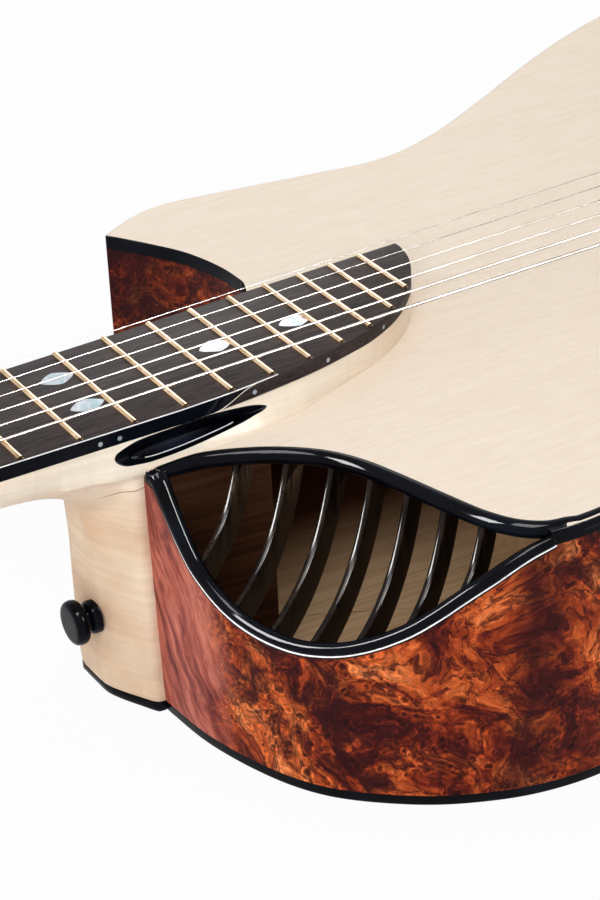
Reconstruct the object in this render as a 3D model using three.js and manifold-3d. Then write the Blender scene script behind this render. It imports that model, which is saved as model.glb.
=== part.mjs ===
// Six-string cutaway guitar with a ribbed sound port, lying on its back. Units are millimetres.
// The model is drawn in the string frame: X runs from the nut (0) to the bridge, +Y is the treble
// side, and Z is 0 on the playing surface of the fretboard. The last lines turn it onto its back.
import * as THREE from "three";
import { mergeVertices } from "three/addons/utils/BufferGeometryUtils.js";
import Module from "manifold-3d";

const wasm = await Module();
wasm.setup();

// Clearances and cutting
const fitGap = 0.3;
const overrun = 60;
const insetKeepShare = 0.97;
const outlineDetail = 1.5;

// Scale and fretboard
const scaleLength = 648;
const semitoneShare = 2 ** (-1 / 12);
const fretCount = 20;
const joinFret = 12;
const nutWidth = 44.5;
const joinWidth = 57.5;
const boardThickness = 6;
const tongueLength = 136;
const fretHeight = 1;
const fretWidth = 2;
const fretInset = 1.2;
const fretRoot = 0.8;
const sweepSetback = 16;

// Body outline
const bodyLength = 498;
const upperHalf = 137.5;
const waistHalf = 121;
const lowerHalf = 198;
const hornHalf = 135;
const hornSetback = 68.5;
const cutawayDepth = 90.5;
const neckDepth = 93;
const taperDrop = 27;
const topDrop = 14;

// Body plates, sides and trim
const topThickness = 3;
const backThickness = 3;
const sideThickness = 2.5;
const bindingHeight = 5.5;
const backBindingHeight = 2.8;
const liningWidth = 6;
const liningHeight = 12;
const liningSetback = 15;
const blockLength = 47;
const blockBassReach = 25;
const blockTrebleReach = 32;
const tailBlockLength = 22;
const tailBlockHalf = 40;

// Sound port in the bass shoulder
const portCornerHalf = 34;
const portTurn = 57.7;
const portLength = 137;
const portReach = 31;
const portDrop = 40.5;
const rimRadius = 3;
const rimProud = 0.8;
const ribCount = 7;
const ribStartShare = 0.1482;
const ribEndShare = 0.781;
const ribThickness = 2.4;
const ribDepth = 9;
const portMarginBefore = 25;
const portMarginAfter = 5;

// Leaf slot beside the fretboard
const slotLength = 55;
const slotLead = 9.5;
const slotCentreHalf = 30.9;
const slotHalf = 2.6;
const slotWall = 0.8;
const slotUndercut = 3;
const flareWidth = 7;
const flareLip = 2.2;
const flareLead = 26;
const flareSetback = 72;

// Neck, heel and head
const neckNutDepth = 14.5;
const neckHeelDepth = 17.5;
const neckRoundness = 0.75;
const heelRoundness = 0.8;
const heelBassHalf = 36;
const heelTrebleHalf = 18;
const heelReach = 15.2;
const heelTopReach = 32;
const heelTaper = 4;
const heelTopDrop = 34;
const heelTopTrebleHalf = 29;
const heelCapThickness = 4;
const heelExcess = 15;
const headPitch = 10;
const headLength = 178;
const headThickness = 14;
const headNeckHalf = 23;
const headShoulderHalf = 36;
const headTipHalf = 33;
const headplateThickness = 2;
const nutLength = 5;
const nutHeight = 8.2;
const rodRadius = 2.5;
const rodDrop = 12;
const rodEndLead = 8;
const rodPocketLength = 27;
const rodPocketHalf = 6;
const rodPocketDepth = 10;
const rodNutRadius = 3.4;
const rodNutLength = 9;
const rodNutOffset = 7;
const rodThreadLength = 8;
const rodThreadRadius = 1.6;
const rodCoverMargin = 4;
const rodCoverThickness = 1.5;

// Strings, bridge and saddle
const stringDiameters = [0.3, 0.41, 0.61, 0.81, 1.07, 1.35];
const nutSpread = 37.5;
const saddleSpread = 54;
const stringShift = 1.5;
const trebleAction = 2.6;
const bassAction = 3.8;
const nutAction = 1.3;
const bridgeLength = 168;
const bridgeWidth = 31;
const bridgeHeight = 14.5;
const bridgeSetback = 20;
const bridgeEndWidth = 20;
const bridgeShoulderShare = 0.55;
const tieWidth = 9;
const tieHeight = 4;
const saddleWidth = 3;
const saddleLength = 74;
const saddleSeat = 3.2;
const ballRadius = 1.9;
const ballLength = 3;
const bridgePlateLength = 33;
const bridgePlateThickness = 2.5;

// Braces
const braceWidth = 8;
const braceHeight = 14;
const braceLead = 92;
const braceSpread = 37;
const braceReach = 260;
const backBraceHeight = 12;
const backBraceStationsShare = [0.32, 0.62];

// Tuners
const tunerCount = 6;
const tunerStart = 40;
const tunerPitch = 42;
const postHalfSpread = 22;
const postDraw = 1.5;
const postRadius = 3;
const postHeight = 12;
const postClearance = 0.6;
const wrapHeight = 7;
const gearRadius = 5.5;
const gearThickness = 4;
const gearDrop = 2.5;
const wormRadius = 2.2;
const wormHalf = 6;
const housingHalf = 9;
const housingWall = 1.2;
const housingMargin = 1;
const shaftRadius = 1.8;
const knobOffset = 31;
const knobHalfWidth = 9;
const knobHalfLength = 7;
const knobHalfThickness = 4.5;

// Strap button and end pin
const buttonDrop = 76.5;
const buttonHalf = 13.5;
const buttonRadius = 8;
const buttonFlange = 6.3;
const buttonWaist = 3.6;
const buttonLength = 10;
const buttonDisc = 3.4;
const buttonSeat = 2.2;
const pinDrop = 50;

const joinX = scaleLength * (1 - semitoneShare ** joinFret);
const tailX = joinX + bodyLength;
const boardEnd = joinX + tongueLength;
const sweepStart = joinX + sweepSetback;
const slotStart = joinX - slotLead;
const flareStart = joinX - flareLead;
const flareEnd = joinX + flareSetback;
const rodEnd = joinX - rodEndLead;
const braceCross = scaleLength - braceLead;
const topZ = -topDrop;
const boardBase = -boardThickness;
const woodTop = boardBase - fitGap;
const taperAngle = Math.atan(taperDrop / bodyLength);
const backZAt = (x) => topZ - neckDepth - (taperDrop * (x - joinX)) / bodyLength;
const boardHalfAt = (x) => (nutWidth + ((joinWidth - nutWidth) * x) / joinX) / 2;
const fretXAt = (n) => scaleLength * (1 - semitoneShare ** n);
const degrees = (a) => THREE.MathUtils.degToRad(a);
const v2 = (x, y) => new THREE.Vector2(x, y);
const v3 = (x, y, z) => new THREE.Vector3(x, y, z);

// Solids: closed three.js geometry to manifold and back
function solidFrom(geometry) {
  const bare = geometry.index ? geometry.toNonIndexed() : geometry.clone();
  bare.deleteAttribute("normal");
  bare.deleteAttribute("uv");
  const merged = mergeVertices(bare, fitGap / 1000);
  const corners = merged.index.array;
  const kept = [];
  for (let i = 0; i < corners.length; i += 3) {
    const [a, b, c] = corners.slice(i, i + 3);
    if (a !== b && b !== c && a !== c) kept.push(a, b, c);
  }
  const vertProperties = new Float32Array(merged.attributes.position.array);
  const triVerts = new Uint32Array(kept);
  return new wasm.Manifold(new wasm.Mesh({ numProp: 3, vertProperties, triVerts }));
}

function geometryFrom(solid) {
  const mesh = solid.getMesh();
  const flat = [];
  for (const corner of mesh.triVerts) {
    const at = corner * mesh.numProp;
    flat.push(...mesh.vertProperties.subarray(at, at + 3));
  }
  const geometry = new THREE.BufferGeometry();
  geometry.setAttribute("position", new THREE.Float32BufferAttribute(flat, 3));
  geometry.computeVertexNormals();
  return geometry;
}

const placed = (geometry, matrix) => solidFrom(geometry.clone().applyMatrix4(matrix));
const moveBy = (x, y, z) => new THREE.Matrix4().makeTranslation(x, y, z);

function slab(points, low, high) {
  const settings = { depth: high - low, bevelEnabled: false };
  const geometry = new THREE.ExtrudeGeometry(new THREE.Shape(points), settings);
  return geometry.translate(0, 0, low);
}

function boxSolid(low, high) {
  const size = v3(high[0] - low[0], high[1] - low[1], high[2] - low[2]);
  const geometry = new THREE.BoxGeometry(size.x, size.y, size.z);
  geometry.translate(low[0] + size.x / 2, low[1] + size.y / 2, low[2] + size.z / 2);
  return solidFrom(geometry);
}

// Joins rings of equal count, each a list of points going round the same way, into one closed body
function loft(rings) {
  const positions = [];
  const count = rings[0].length;
  const add = (...corners) => corners.forEach((p) => positions.push(p.x, p.y, p.z));
  for (let i = 0; i + 1 < rings.length; i += 1) {
    for (let j = 0; j < count; j += 1) {
      const k = (j + 1) % count;
      add(rings[i][j], rings[i][k], rings[i + 1][k]);
      add(rings[i][j], rings[i + 1][k], rings[i + 1][j]);
    }
  }
  const cap = (ring, facing) => {
    const normal = v3(0, 0, 0);
    ring.forEach((p, j) => normal.add(p.clone().cross(ring[(j + 1) % count])));
    const turn = new THREE.Quaternion().setFromUnitVectors(normal.normalize(), v3(0, 0, 1));
    const flat = ring.map((p) => p.clone().applyQuaternion(turn)).map((p) => v2(p.x, p.y));
    const faces = THREE.ShapeUtils.triangulateShape(flat, []);
    const middle = v3(0, 0, 0);
    ring.forEach((p) => middle.addScaledVector(p, 1 / count));
    const corners = faces.length === count - 2
      ? faces.map((face) => face.map((j) => ring[j]))
      : ring.map((p, j) => [p, ring[(j + 1) % count], middle]);
    corners.forEach(([a, b, c]) => (facing ? add(a, b, c) : add(c, b, a)));
  };
  cap(rings[0], false);
  cap(rings[rings.length - 1], true);
  const geometry = new THREE.BufferGeometry();
  geometry.setAttribute("position", new THREE.Float32BufferAttribute(positions, 3));
  return geometry;
}

// A curve that keeps the points chosen for it, so a tube has its rings just there
class Route extends THREE.Curve {
  constructor(points) {
    super();
    this.points = points;
  }
  getPoint(t) {
    return this.points[Math.round(t * (this.points.length - 1))].clone();
  }
  getPointAt(u) {
    return this.getPoint(u);
  }
  getTangentAt(u, target = v3(0, 0, 0)) {
    const i = Math.round(u * (this.points.length - 1));
    const before = this.points[Math.max(i - 1, 0)];
    const after = this.points[Math.min(i + 1, this.points.length - 1)];
    const here = this.points[i];
    const inward = here.clone().sub(before).normalize();
    const outward = after.clone().sub(here).normalize();
    return target.copy(inward).add(outward).normalize();
  }
}

function tube(points, radius, sides) {
  const ring = [];
  for (let i = 0; i < sides; i += 1) {
    const a = (2 * Math.PI * i) / sides;
    ring.push(v2(radius * Math.cos(a), radius * Math.sin(a)));
  }
  const extrudePath = new Route(points);
  const settings = { steps: points.length - 1, bevelEnabled: false, extrudePath };
  return new THREE.ExtrudeGeometry(new THREE.Shape(ring), settings);
}

// A round bar about the Z axis, from a profile of [radius, height] pairs on or off the axis
function turned(profile, sides) {
  const geometry = new THREE.LatheGeometry(profile.map(([r, h]) => v2(r, h)), sides);
  return geometry.rotateX(Math.PI / 2);
}

const barProfile = (radius, low, high) => [[0, low], [radius, low], [radius, high], [0, high]];

// Body outline, as shares along the body and across its half widths, bass side first
const upperShares = [
  [0, 0.262], [0.0036, 0.4145], [0.0141, 0.5636], [0.0293, 0.6909], [0.0502, 0.7876],
  [0.0849, 0.8858], [0.1189, 0.9476], [0.1574, 0.989], [0.2022, 1], [0.253, 0.971],
];
const waistShares = [[0.3133, 1.037], [0.3755, 1], [0.4337, 1.06]];
const lowerShares = [
  [0.504, 0.735], [0.5843, 0.8434], [0.6606, 0.9293], [0.7349, 0.9848], [0.7992, 1],
  [0.8655, 0.9747], [0.9257, 0.8889], [0.9679, 0.7374], [0.99, 0.5303], [0.998, 0.2778],
];
const hornShares = [[0.2285, 0.986], [0.1962, 1], [0.167, 0.976]];
const hornTipShare = 0.919;
const cutawayShares = [
  [0.155, 0.881], [0.4545, 0.799], [0.732, 0.713], [0.873, 0.644], [0.973, 0.566], [1, 0.496],
  [0.991, 0.437], [0.917, 0.348], [0.751, 0.259], [0.508, 0.196], [0.232, 0.163],
];
const cutawayStartShare = 0.148;
const cutawayTurnShare = 0.5;

function pointsAt(shares, half, sign) {
  return shares.map(([along, across]) => v2(joinX + along * bodyLength, sign * across * half));
}

function bodyOutline() {
  const bass = [
    ...pointsAt(upperShares, upperHalf, -1),
    ...pointsAt(waistShares, waistHalf, -1),
    ...pointsAt(lowerShares, lowerHalf, -1),
  ];
  const treble = [
    ...pointsAt(lowerShares, lowerHalf, 1).reverse(),
    ...pointsAt(waistShares, waistHalf, 1).reverse(),
    ...pointsAt(hornShares, hornHalf, 1),
  ];
  const hornTip = v2(joinX + hornSetback, hornTipShare * hornHalf);
  const around = [...bass, v2(tailX, 0), ...treble, hornTip];
  const cutaway = cutawayShares.map(([deep, across]) => {
    const start = across > cutawayTurnShare ? hornSetback : 0;
    return v2(joinX + start + (cutawayDepth - start) * deep, across * hornHalf);
  });
  const scoop = [hornTip, ...cutaway, v2(joinX, cutawayStartShare * hornHalf)];
  const smooth = (points) =>
    new THREE.SplineCurve(points).getPoints(Math.round(outlineDetail * (points.length - 1)));
  return [...smooth(around), ...smooth(scoop).slice(1)];
}

function distanceTo(ring, p) {
  const point = v3(p.x, p.y, 0);
  const gaps = ring.map((a, i) => {
    const b = ring[(i + 1) % ring.length];
    const edge = new THREE.Line3(v3(a.x, a.y, 0), v3(b.x, b.y, 0));
    return edge.closestPointToPoint(point, true, v3(0, 0, 0)).distanceTo(point);
  });
  return Math.min(...gaps);
}

// Moves each side of a closed ring inwards by a distance, with mitred corners, and leaves out
// the points that a tight corner would fold over
function inset(ring, distance) {
  const count = ring.length;
  const moved = ring.map((p, i) => {
    const before = ring[(i + count - 1) % count];
    const after = ring[(i + 1) % count];
    const a = p.clone().sub(before).normalize();
    const b = after.clone().sub(p).normalize();
    const normal = v2(-(a.y + b.y), a.x + b.x).normalize();
    const lean = Math.max(normal.dot(v2(-a.y, a.x)), 1 / 2);
    return p.clone().addScaledVector(normal, distance / lean);
  });
  return moved.filter((p) => distanceTo(ring, p) > insetKeepShare * distance);
}

const outline = bodyOutline();
const deepest = backZAt(tailX) - overrun;
const prism = (distance, low = deepest, high = topZ) =>
  solidFrom(slab(distance ? inset(outline, distance) : outline, low, high));

// All that lies below a plane parallel to the back, raised above the back's outer face
function belowBack(raised) {
  const reach = bodyLength + 4 * overrun;
  const geometry = new THREE.BoxGeometry(2 * reach, 2 * reach, reach);
  const middle = moveBy(joinX, 0, backZAt(joinX));
  const turn = new THREE.Matrix4().makeRotationY(taperAngle);
  return placed(geometry.translate(0, 0, raised - reach / 2), middle.multiply(turn));
}

const cavityOf = (distance) =>
  prism(distance, deepest, topZ - topThickness - fitGap).subtract(belowBack(backThickness + fitGap));

// Sound port: its own frame has X across into the top, Y up and Z along the opening
const portAlong = v3(Math.cos(degrees(portTurn)), -Math.sin(degrees(portTurn)), 0);
const portAcross = v3(Math.sin(degrees(portTurn)), Math.cos(degrees(portTurn)), 0);
const portMatrix = new THREE.Matrix4()
  .makeBasis(portAcross, v3(0, 0, 1), portAlong)
  .setPosition(joinX, -portCornerHalf, 0);
const rimZ = topZ - rimRadius + rimProud;
const upperRimShares = [
  [0, -0.02], [0.02, 0.17], [0.083, 0.47], [0.159, 0.71], [0.242, 0.895], [0.334, 0.99],
  [0.436, 1], [0.544, 0.94], [0.66, 0.78],
];
const upperRimEndShares = [[0.771, 0.846], [0.877, 0.449], [0.963, 0.193]];
const lowerRimShares = [
  [0, 0], [0.014, 0.158], [0.045, 0.336], [0.094, 0.523], [0.157, 0.689], [0.234, 0.844],
  [0.321, 0.965], [0.417, 1], [0.505, 0.98], [0.596, 0.909], [0.68, 0.793], [0.759, 0.607],
  [0.816, 0.442], [0.871, 0.304], [0.922, 0.163], [0.963, 0.094], [1, 0],
];
const scoopWidthShare = 0.27;
const scoopDepthShare = 0.93;
const portStartShare = -0.02;
const portEndShare = 0.965;
const lowerRimStartShare = 0.012;
const lowerRimEndShare = 0.93;

// Value of a table of [place, value] at a place, along straight lines between its rows
function tableAt(table, place) {
  const next = table.findIndex(([at]) => at >= place);
  if (next <= 0) return table[next === 0 ? 0 : table.length - 1][1];
  const [a, from] = table[next - 1];
  const [b, to] = table[next];
  return from + ((to - from) * (place - a)) / (b - a);
}

const smoothTable = (shares, steps) =>
  new THREE.SplineCurve(shares.map(([a, b]) => v2(a, b))).getPoints(steps).map((p) => [p.x, p.y]);

const rimSteps = 24;
const lowerTable = smoothTable(lowerRimShares, rimSteps);

// Outermost place where the outline crosses a station along the port, in port coordinates
function edgeAcrossAt(along, ring) {
  const local = ring.map((p) => v3(p.x - joinX, p.y + portCornerHalf, 0));
  const crossings = [];
  local.forEach((p, i) => {
    const q = local[(i + 1) % local.length];
    const from = p.dot(portAlong) - along;
    const to = q.dot(portAlong) - along;
    if (from * to > 0 || from === to) return;
    const hit = p.clone().lerp(q, from / (from - to));
    crossings.push(hit.dot(portAcross));
  });
  return Math.min(...crossings);
}

// The near part of the upper edge is set from the port's corner line, and its far part by how
// deep it lies inside the edge of the body
const upperTable = smoothTable([
  ...upperRimShares,
  ...upperRimEndShares.map(([share, deep]) =>
    [share, deep + edgeAcrossAt(share * portLength, outline) / portReach]),
], rimSteps);

// The edge of the top is where the shoulder trim starts; the bead's middle lies a radius outside it
const upperAcrossAt = (share) => tableAt(upperTable, share) * portReach - rimRadius;
const rimInset = inset(outline, rimRadius - rimProud);
const lowerAcrossAt = (share) => edgeAcrossAt(share * portLength, rimInset);
const lowerZAt = (share) =>
  Math.min(rimZ, topZ - tableAt(lowerTable, share) * portDrop + rimRadius);

function upperRimPath() {
  const edge = upperTable.map(([share, across]) => v2(across * portReach, share * portLength));
  return edge.map((p, i) => {
    const before = edge[Math.max(i - 1, 0)];
    const after = edge[Math.min(i + 1, edge.length - 1)];
    const run = after.clone().sub(before).normalize();
    const middle = p.clone().add(v2(-run.y, run.x).multiplyScalar(rimRadius));
    return v3(middle.x, rimZ, middle.y).applyMatrix4(portMatrix);
  });
}

function lowerRimPath() {
  const shares = [];
  for (let i = 0; i <= rimSteps; i += 1) {
    const swing = (1 - Math.cos((Math.PI * i) / rimSteps)) / 2;
    shares.push(THREE.MathUtils.lerp(lowerRimStartShare, lowerRimEndShare, swing));
  }
  return shares.map((share) =>
    v3(lowerAcrossAt(share), lowerZAt(share), share * portLength).applyMatrix4(portMatrix),
  );
}

// The hollow face that the ribs follow, from the upper bead down to the lower one
function scoopCurve(share) {
  const top = v2(upperAcrossAt(share), rimZ);
  const low = v2(lowerAcrossAt(share), lowerZAt(share));
  const bend = v2(
    top.x + (low.x - top.x) * scoopWidthShare,
    top.y + (low.y - top.y) * scoopDepthShare,
  );
  return new THREE.QuadraticBezierCurve(top, bend, low).getPoints(8);
}

function portCutter() {
  const rings = [];
  const stations = 26;
  for (let i = 0; i <= stations; i += 1) {
    const share = THREE.MathUtils.lerp(portStartShare, portEndShare, i / stations);
    const curve = scoopCurve(Math.max(share, 0));
    const low = curve[curve.length - 1];
    const ring = [
      v2(curve[0].x, overrun),
      ...curve,
      v2(low.x - overrun, low.y),
      v2(low.x - overrun, overrun),
    ];
    rings.push(ring.map((p) => v3(p.x, p.y, share * portLength)));
  }
  return placed(loft(rings.map((ring) => ring.reverse())), portMatrix);
}

const rimSides = 8;
const upperPath = upperRimPath();
const lowerPath = lowerRimPath();
const beadOf = (path, extra) => solidFrom(tube(path, rimRadius + extra, rimSides));
const upperBead = beadOf(upperPath, 0);
const upperBeadRoom = beadOf(upperPath, fitGap);
const lowerBeadRoom = beadOf(lowerPath, fitGap);
const port = portCutter();

function portRib(index) {
  const along = index / (ribCount - 1);
  const middle = THREE.MathUtils.lerp(ribStartShare, ribEndShare, along) * portLength;
  const front = scoopCurve(middle / portLength);
  const back = front.map((p, i) => {
    const run = front[Math.min(i + 1, front.length - 1)].clone().sub(front[Math.max(i - 1, 0)]);
    return p.clone().add(v2(-run.y, run.x).normalize().multiplyScalar(ribDepth));
  });
  const plate = slab([...front, ...back.reverse()], middle - ribThickness / 2, middle + ribThickness / 2);
  return placed(plate, portMatrix)
    .intersect(cavityOf(sideThickness + fitGap))
    .subtract(upperBeadRoom)
    .subtract(lowerBeadRoom);
}

// Tongue of the neck over the top, with the flare that holds the leaf slot
const sweepShares = [
  [0, 1], [0.16, 0.965], [0.3, 0.9], [0.43, 0.82], [0.553, 0.7], [0.664, 0.56],
  [0.78, 0.31], [0.878, -0.02], [0.94, -0.33], [0.982, -0.63], [1, -0.9],
];
const flareShares = [
  [0, 0], [0.1, 0.35], [0.2, 0.72], [0.3, 0.95], [0.4, 1], [0.5, 0.95], [0.6, 0.74],
  [0.7, 0.48], [0.8, 0.25], [0.9, 0.08], [1, 0],
];

function boardBassEdge(from) {
  const sweep = sweepShares.map(([along, across]) => {
    const x = sweepStart + along * (boardEnd - sweepStart);
    return v2(x, -across * boardHalfAt(x));
  });
  const curve = new THREE.SplineCurve(sweep).getPoints(2 * (sweep.length - 1));
  return [v2(from, -boardHalfAt(from)), ...curve];
}

const boardOutline = (from) => [
  ...boardBassEdge(from),
  v2(boardEnd, boardHalfAt(boardEnd)),
  v2(from, boardHalfAt(from)),
];

function tongue() {
  const steps = 14;
  const start = [];
  for (let i = 0; i < steps; i += 1) {
    start.push(flareStart + ((sweepStart - flareStart) * i) / steps);
  }
  const bass = [...start.map((x) => v2(x, -boardHalfAt(x))), ...boardBassEdge(sweepStart).slice(1)];
  const top = [...bass, v2(boardEnd, boardHalfAt(boardEnd)), v2(flareStart, boardHalfAt(flareStart))];
  const flareAt = (x) => tableAt(flareShares, (x - flareStart) / (flareEnd - flareStart)) * flareWidth;
  const foot = top.map((p, i) => (i < bass.length ? v2(p.x, p.y - flareAt(p.x)) : p.clone()));
  const atHeight = (ring, z) => ring.map((p) => v3(p.x, p.y, z));
  const base = topZ + fitGap;
  return loft([atHeight(foot, base), atHeight(foot, base + flareLip), atHeight(top, woodTop)]);
}

// Neck shaft, with a rounded back
function shaft() {
  const rings = [];
  const sides = 12;
  const reach = joinX - fitGap;
  const stations = [-nutLength, reach / 3, (2 * reach) / 3, flareStart, reach];
  stations.forEach((x) => {
    const along = Math.max(x, 0) / joinX;
    const half = boardHalfAt(Math.max(x, 0));
    const depth = neckNutDepth + (neckHeelDepth - neckNutDepth) * along;
    const ring = [];
    for (let i = 0; i <= sides; i += 1) {
      const a = (Math.PI * i) / sides;
      const z = woodTop - depth * Math.sin(a) ** neckRoundness;
      ring.push(v3(x, -half * Math.cos(a), z));
    }
    rings.push(ring);
  });
  return loft(rings);
}

// Heel: each level is a rounded front that meets the body at the join
const heelLevelsShare = [0.3, 0.45, 0.62, 0.8, 1];
const heelEaseShare = [1, 0.62, 0.32, 0.1, 0];

function heel() {
  const back = joinX - fitGap;
  const sides = 16;
  const ringAt = (z, reach, trebleHalf) => {
    const middle = (trebleHalf - heelBassHalf) / 2;
    const half = (trebleHalf + heelBassHalf) / 2;
    const ring = [];
    for (let i = 0; i <= sides; i += 1) {
      const a = (Math.PI * i) / sides;
      const out = reach * Math.sin(a) ** heelRoundness;
      ring.push(v3(back - out, middle + half * Math.cos(a), z));
    }
    return ring;
  };
  const rings = heelLevelsShare.map((level, i) => {
    const ease = heelEaseShare[i];
    const reach = heelReach + (heelTopReach - heelReach) * ease;
    const trebleHalf = heelTrebleHalf + (heelTopTrebleHalf - heelTrebleHalf) * ease;
    return ringAt(-heelTopDrop * level, reach, trebleHalf);
  });
  rings.push(ringAt(backZAt(joinX) - heelExcess, heelReach - heelTaper, heelTrebleHalf));
  return loft(rings.reverse());
}

const headMatrix = moveBy(-nutLength, 0, woodTop).multiply(
  new THREE.Matrix4().makeRotationY(-degrees(headPitch)),
);
const headRiseShares = [[0.04, 0], [0.16, 0.45], [0.3, 0.93], [0.42, 1]];
const headTipShares = [[0.93, 1], [0.985, 0.5], [1, 0]];

function headOutline() {
  const rise = headRiseShares.map(([along, wide]) =>
    v2(-along * headLength, THREE.MathUtils.lerp(headNeckHalf, headShoulderHalf, wide)),
  );
  const side = new THREE.SplineCurve(rise).getPoints(9);
  const tip = headTipShares.map(([along, wide]) => v2(-along * headLength, wide * headTipHalf));
  const crown = new THREE.SplineCurve([side[side.length - 1], ...tip]).getPoints(8).slice(1);
  const half = [v2(0, headNeckHalf), ...side, ...crown];
  const mirrored = half.slice(0, -1).map((p) => v2(p.x, -p.y)).reverse();
  return [...half, ...mirrored];
}

const tunerPlace = (index) => {
  const row = index < tunerCount / 2 ? tunerCount / 2 - 1 - index : index - tunerCount / 2;
  const far = tunerCount / 2 - 1 - row;
  const side = index < tunerCount / 2 ? 1 : -1;
  return {
    x: -tunerStart - far * tunerPitch,
    y: side * (postHalfSpread - far * postDraw),
    side,
  };
};

function tunerHoles(low, high) {
  let holes = null;
  for (let i = 0; i < tunerCount; i += 1) {
    const { x, y } = tunerPlace(i);
    const hole = turned(barProfile(postRadius + postClearance, low, high), 10);
    const solid = placed(hole, headMatrix.clone().multiply(moveBy(x, y, 0)));
    holes = holes ? holes.add(solid) : solid;
  }
  return holes;
}

const rodPocket = placed(
  new THREE.BoxGeometry(rodPocketLength, 2 * rodPocketHalf, 2 * rodPocketDepth),
  headMatrix.clone().multiply(moveBy(-rodPocketLength / 2 - nutLength, 0, 0)),
);
const rodChannel = boxSolid(
  [-nutLength - rodNutOffset, -rodRadius - fitGap, -rodDrop - rodRadius - fitGap],
  [rodEnd + fitGap, rodRadius + fitGap, 0],
);

const leafShares = [[-1, 0], [-0.72, 0.7], [-0.25, 1], [0.35, 0.86], [1, 0]];

function leaf(grow) {
  const middle = slotStart + slotLength / 2;
  const tip = slotLength / 2 + 2 * grow;
  const half = slotHalf + grow;
  const side = (sign) => {
    const points = leafShares.map(([along, across]) =>
      v2(middle + sign * along * tip, -slotCentreHalf - sign * across * half),
    );
    return new THREE.SplineCurve(points).getPoints(10);
  };
  return [...side(1).slice(0, -1), ...side(-1).slice(0, -1)];
}

const slotRoom = solidFrom(slab(leaf(slotWall + fitGap), topZ - topThickness - slotUndercut, 0));
const tongueSolid = solidFrom(tongue());
const belowCap = belowBack(heelCapThickness + fitGap);
const heelSolid = solidFrom(heel());
const headSolid = placed(slab(headOutline(), -headThickness, 0), headMatrix);
const woodPlane = boxSolid(
  [-nutLength - overrun, -upperHalf, woodTop],
  [boardEnd + overrun, upperHalf, overrun],
);
const blank = solidFrom(shaft())
  .add(heelSolid)
  .add(tongueSolid)
  .add(headSolid)
  .subtract(woodPlane);

function neck() {
  return blank
    .subtract(belowCap)
    .subtract(slotRoom)
    .subtract(upperBeadRoom)
    .subtract(lowerBeadRoom)
    .subtract(rodPocket)
    .subtract(rodChannel)
    .subtract(tunerHoles(-headThickness - overrun, overrun));
}

function heelCap() {
  const slabBelow = belowBack(heelCapThickness);
  return heelSolid.intersect(slabBelow).subtract(belowBack(0));
}

function slotLining() {
  const ring = solidFrom(slab(leaf(slotWall), topZ - topThickness, 0))
    .subtract(solidFrom(slab(leaf(0), topZ - overrun, overrun)));
  const room = boxSolid(
    [slotStart - overrun, -overrun, topZ - topThickness],
    [slotStart + slotLength + overrun, 0, topZ + 2 * fitGap],
  );
  return ring.intersect(tongueSolid.add(room)).subtract(upperBeadRoom).subtract(lowerBeadRoom);
}

function fretboard() {
  const board = solidFrom(slab(boardOutline(0), boardBase, 0));
  const inner = solidFrom(slab(inset(boardOutline(0), fretInset), -fretRoot, overrun));
  let all = board;
  for (let n = 1; n <= fretCount; n += 1) {
    const x = fretXAt(n);
    const section = [
      v2(-fretWidth / 2, -fretRoot), v2(fretWidth / 2, -fretRoot), v2(fretWidth / 2, fretHeight / 3),
      v2(0, fretHeight), v2(-fretWidth / 2, fretHeight / 3),
    ];
    const bar = slab(section, -joinWidth, joinWidth).rotateX(Math.PI / 2).translate(x, 0, 0);
    all = all.add(solidFrom(bar).intersect(inner));
  }
  return all;
}

// String heights and places: string 0 is the thin treble one
const shareOf = (index) => 1 / 2 - index / (stringDiameters.length - 1);
const stringY = (index, x) => {
  const spread = nutSpread + ((saddleSpread - nutSpread) * x) / scaleLength;
  return stringShift + shareOf(index) * spread;
};
const saddleX = scaleLength;
const actionAt = (index) => {
  const bassShare = index / (stringDiameters.length - 1);
  return trebleAction + (bassAction - trebleAction) * bassShare;
};
const saddleZ = (index) =>
  nutAction + ((fretHeight + actionAt(index) - nutAction) * saddleX) / joinX
  + stringDiameters[index] / 2;
const nutZ = (index) => nutAction + stringDiameters[index] / 2;
const tieX = saddleX + bridgeSetback - tieWidth / 2;
const tieZ = topZ + bridgeHeight + tieHeight / 2;

function stringRoute(index) {
  const radius = stringDiameters[index] / 2;
  const { x, y, side } = tunerPlace(index);
  const wrap = postRadius + radius + fitGap;
  const tie = tieX + tieWidth / 2 + ballLength;
  const points = [
    v3(tie, stringY(index, tie), tieZ),
    v3(tieX - tieWidth / 2, stringY(index, tieX), tieZ),
    v3(saddleX, stringY(index, saddleX), saddleZ(index)),
    v3(0, stringY(index, 0), nutZ(index)),
    v3(-nutLength, stringY(index, -nutLength), nutZ(index)),
  ];
  const wraps = 9;
  for (let i = 0; i <= wraps; i += 1) {
    const a = (Math.PI * 5 * i) / (4 * wraps);
    const local = v3(
      x - wrap * Math.sin(a),
      y - side * wrap * Math.cos(a),
      wrapHeight + (i * radius) / wraps,
    );
    points.push(local.applyMatrix4(headMatrix));
  }
  return points;
}

function guitarString(index) {
  const radius = stringDiameters[index] / 2;
  const ball = turned(barProfile(ballRadius, 0, ballLength), 8).rotateY(Math.PI / 2);
  const tie = tieX + tieWidth / 2 + fitGap;
  return solidFrom(tube(stringRoute(index), radius, 6))
    .add(placed(ball, moveBy(tie, stringY(index, tie + ballLength), tieZ)));
}

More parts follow.
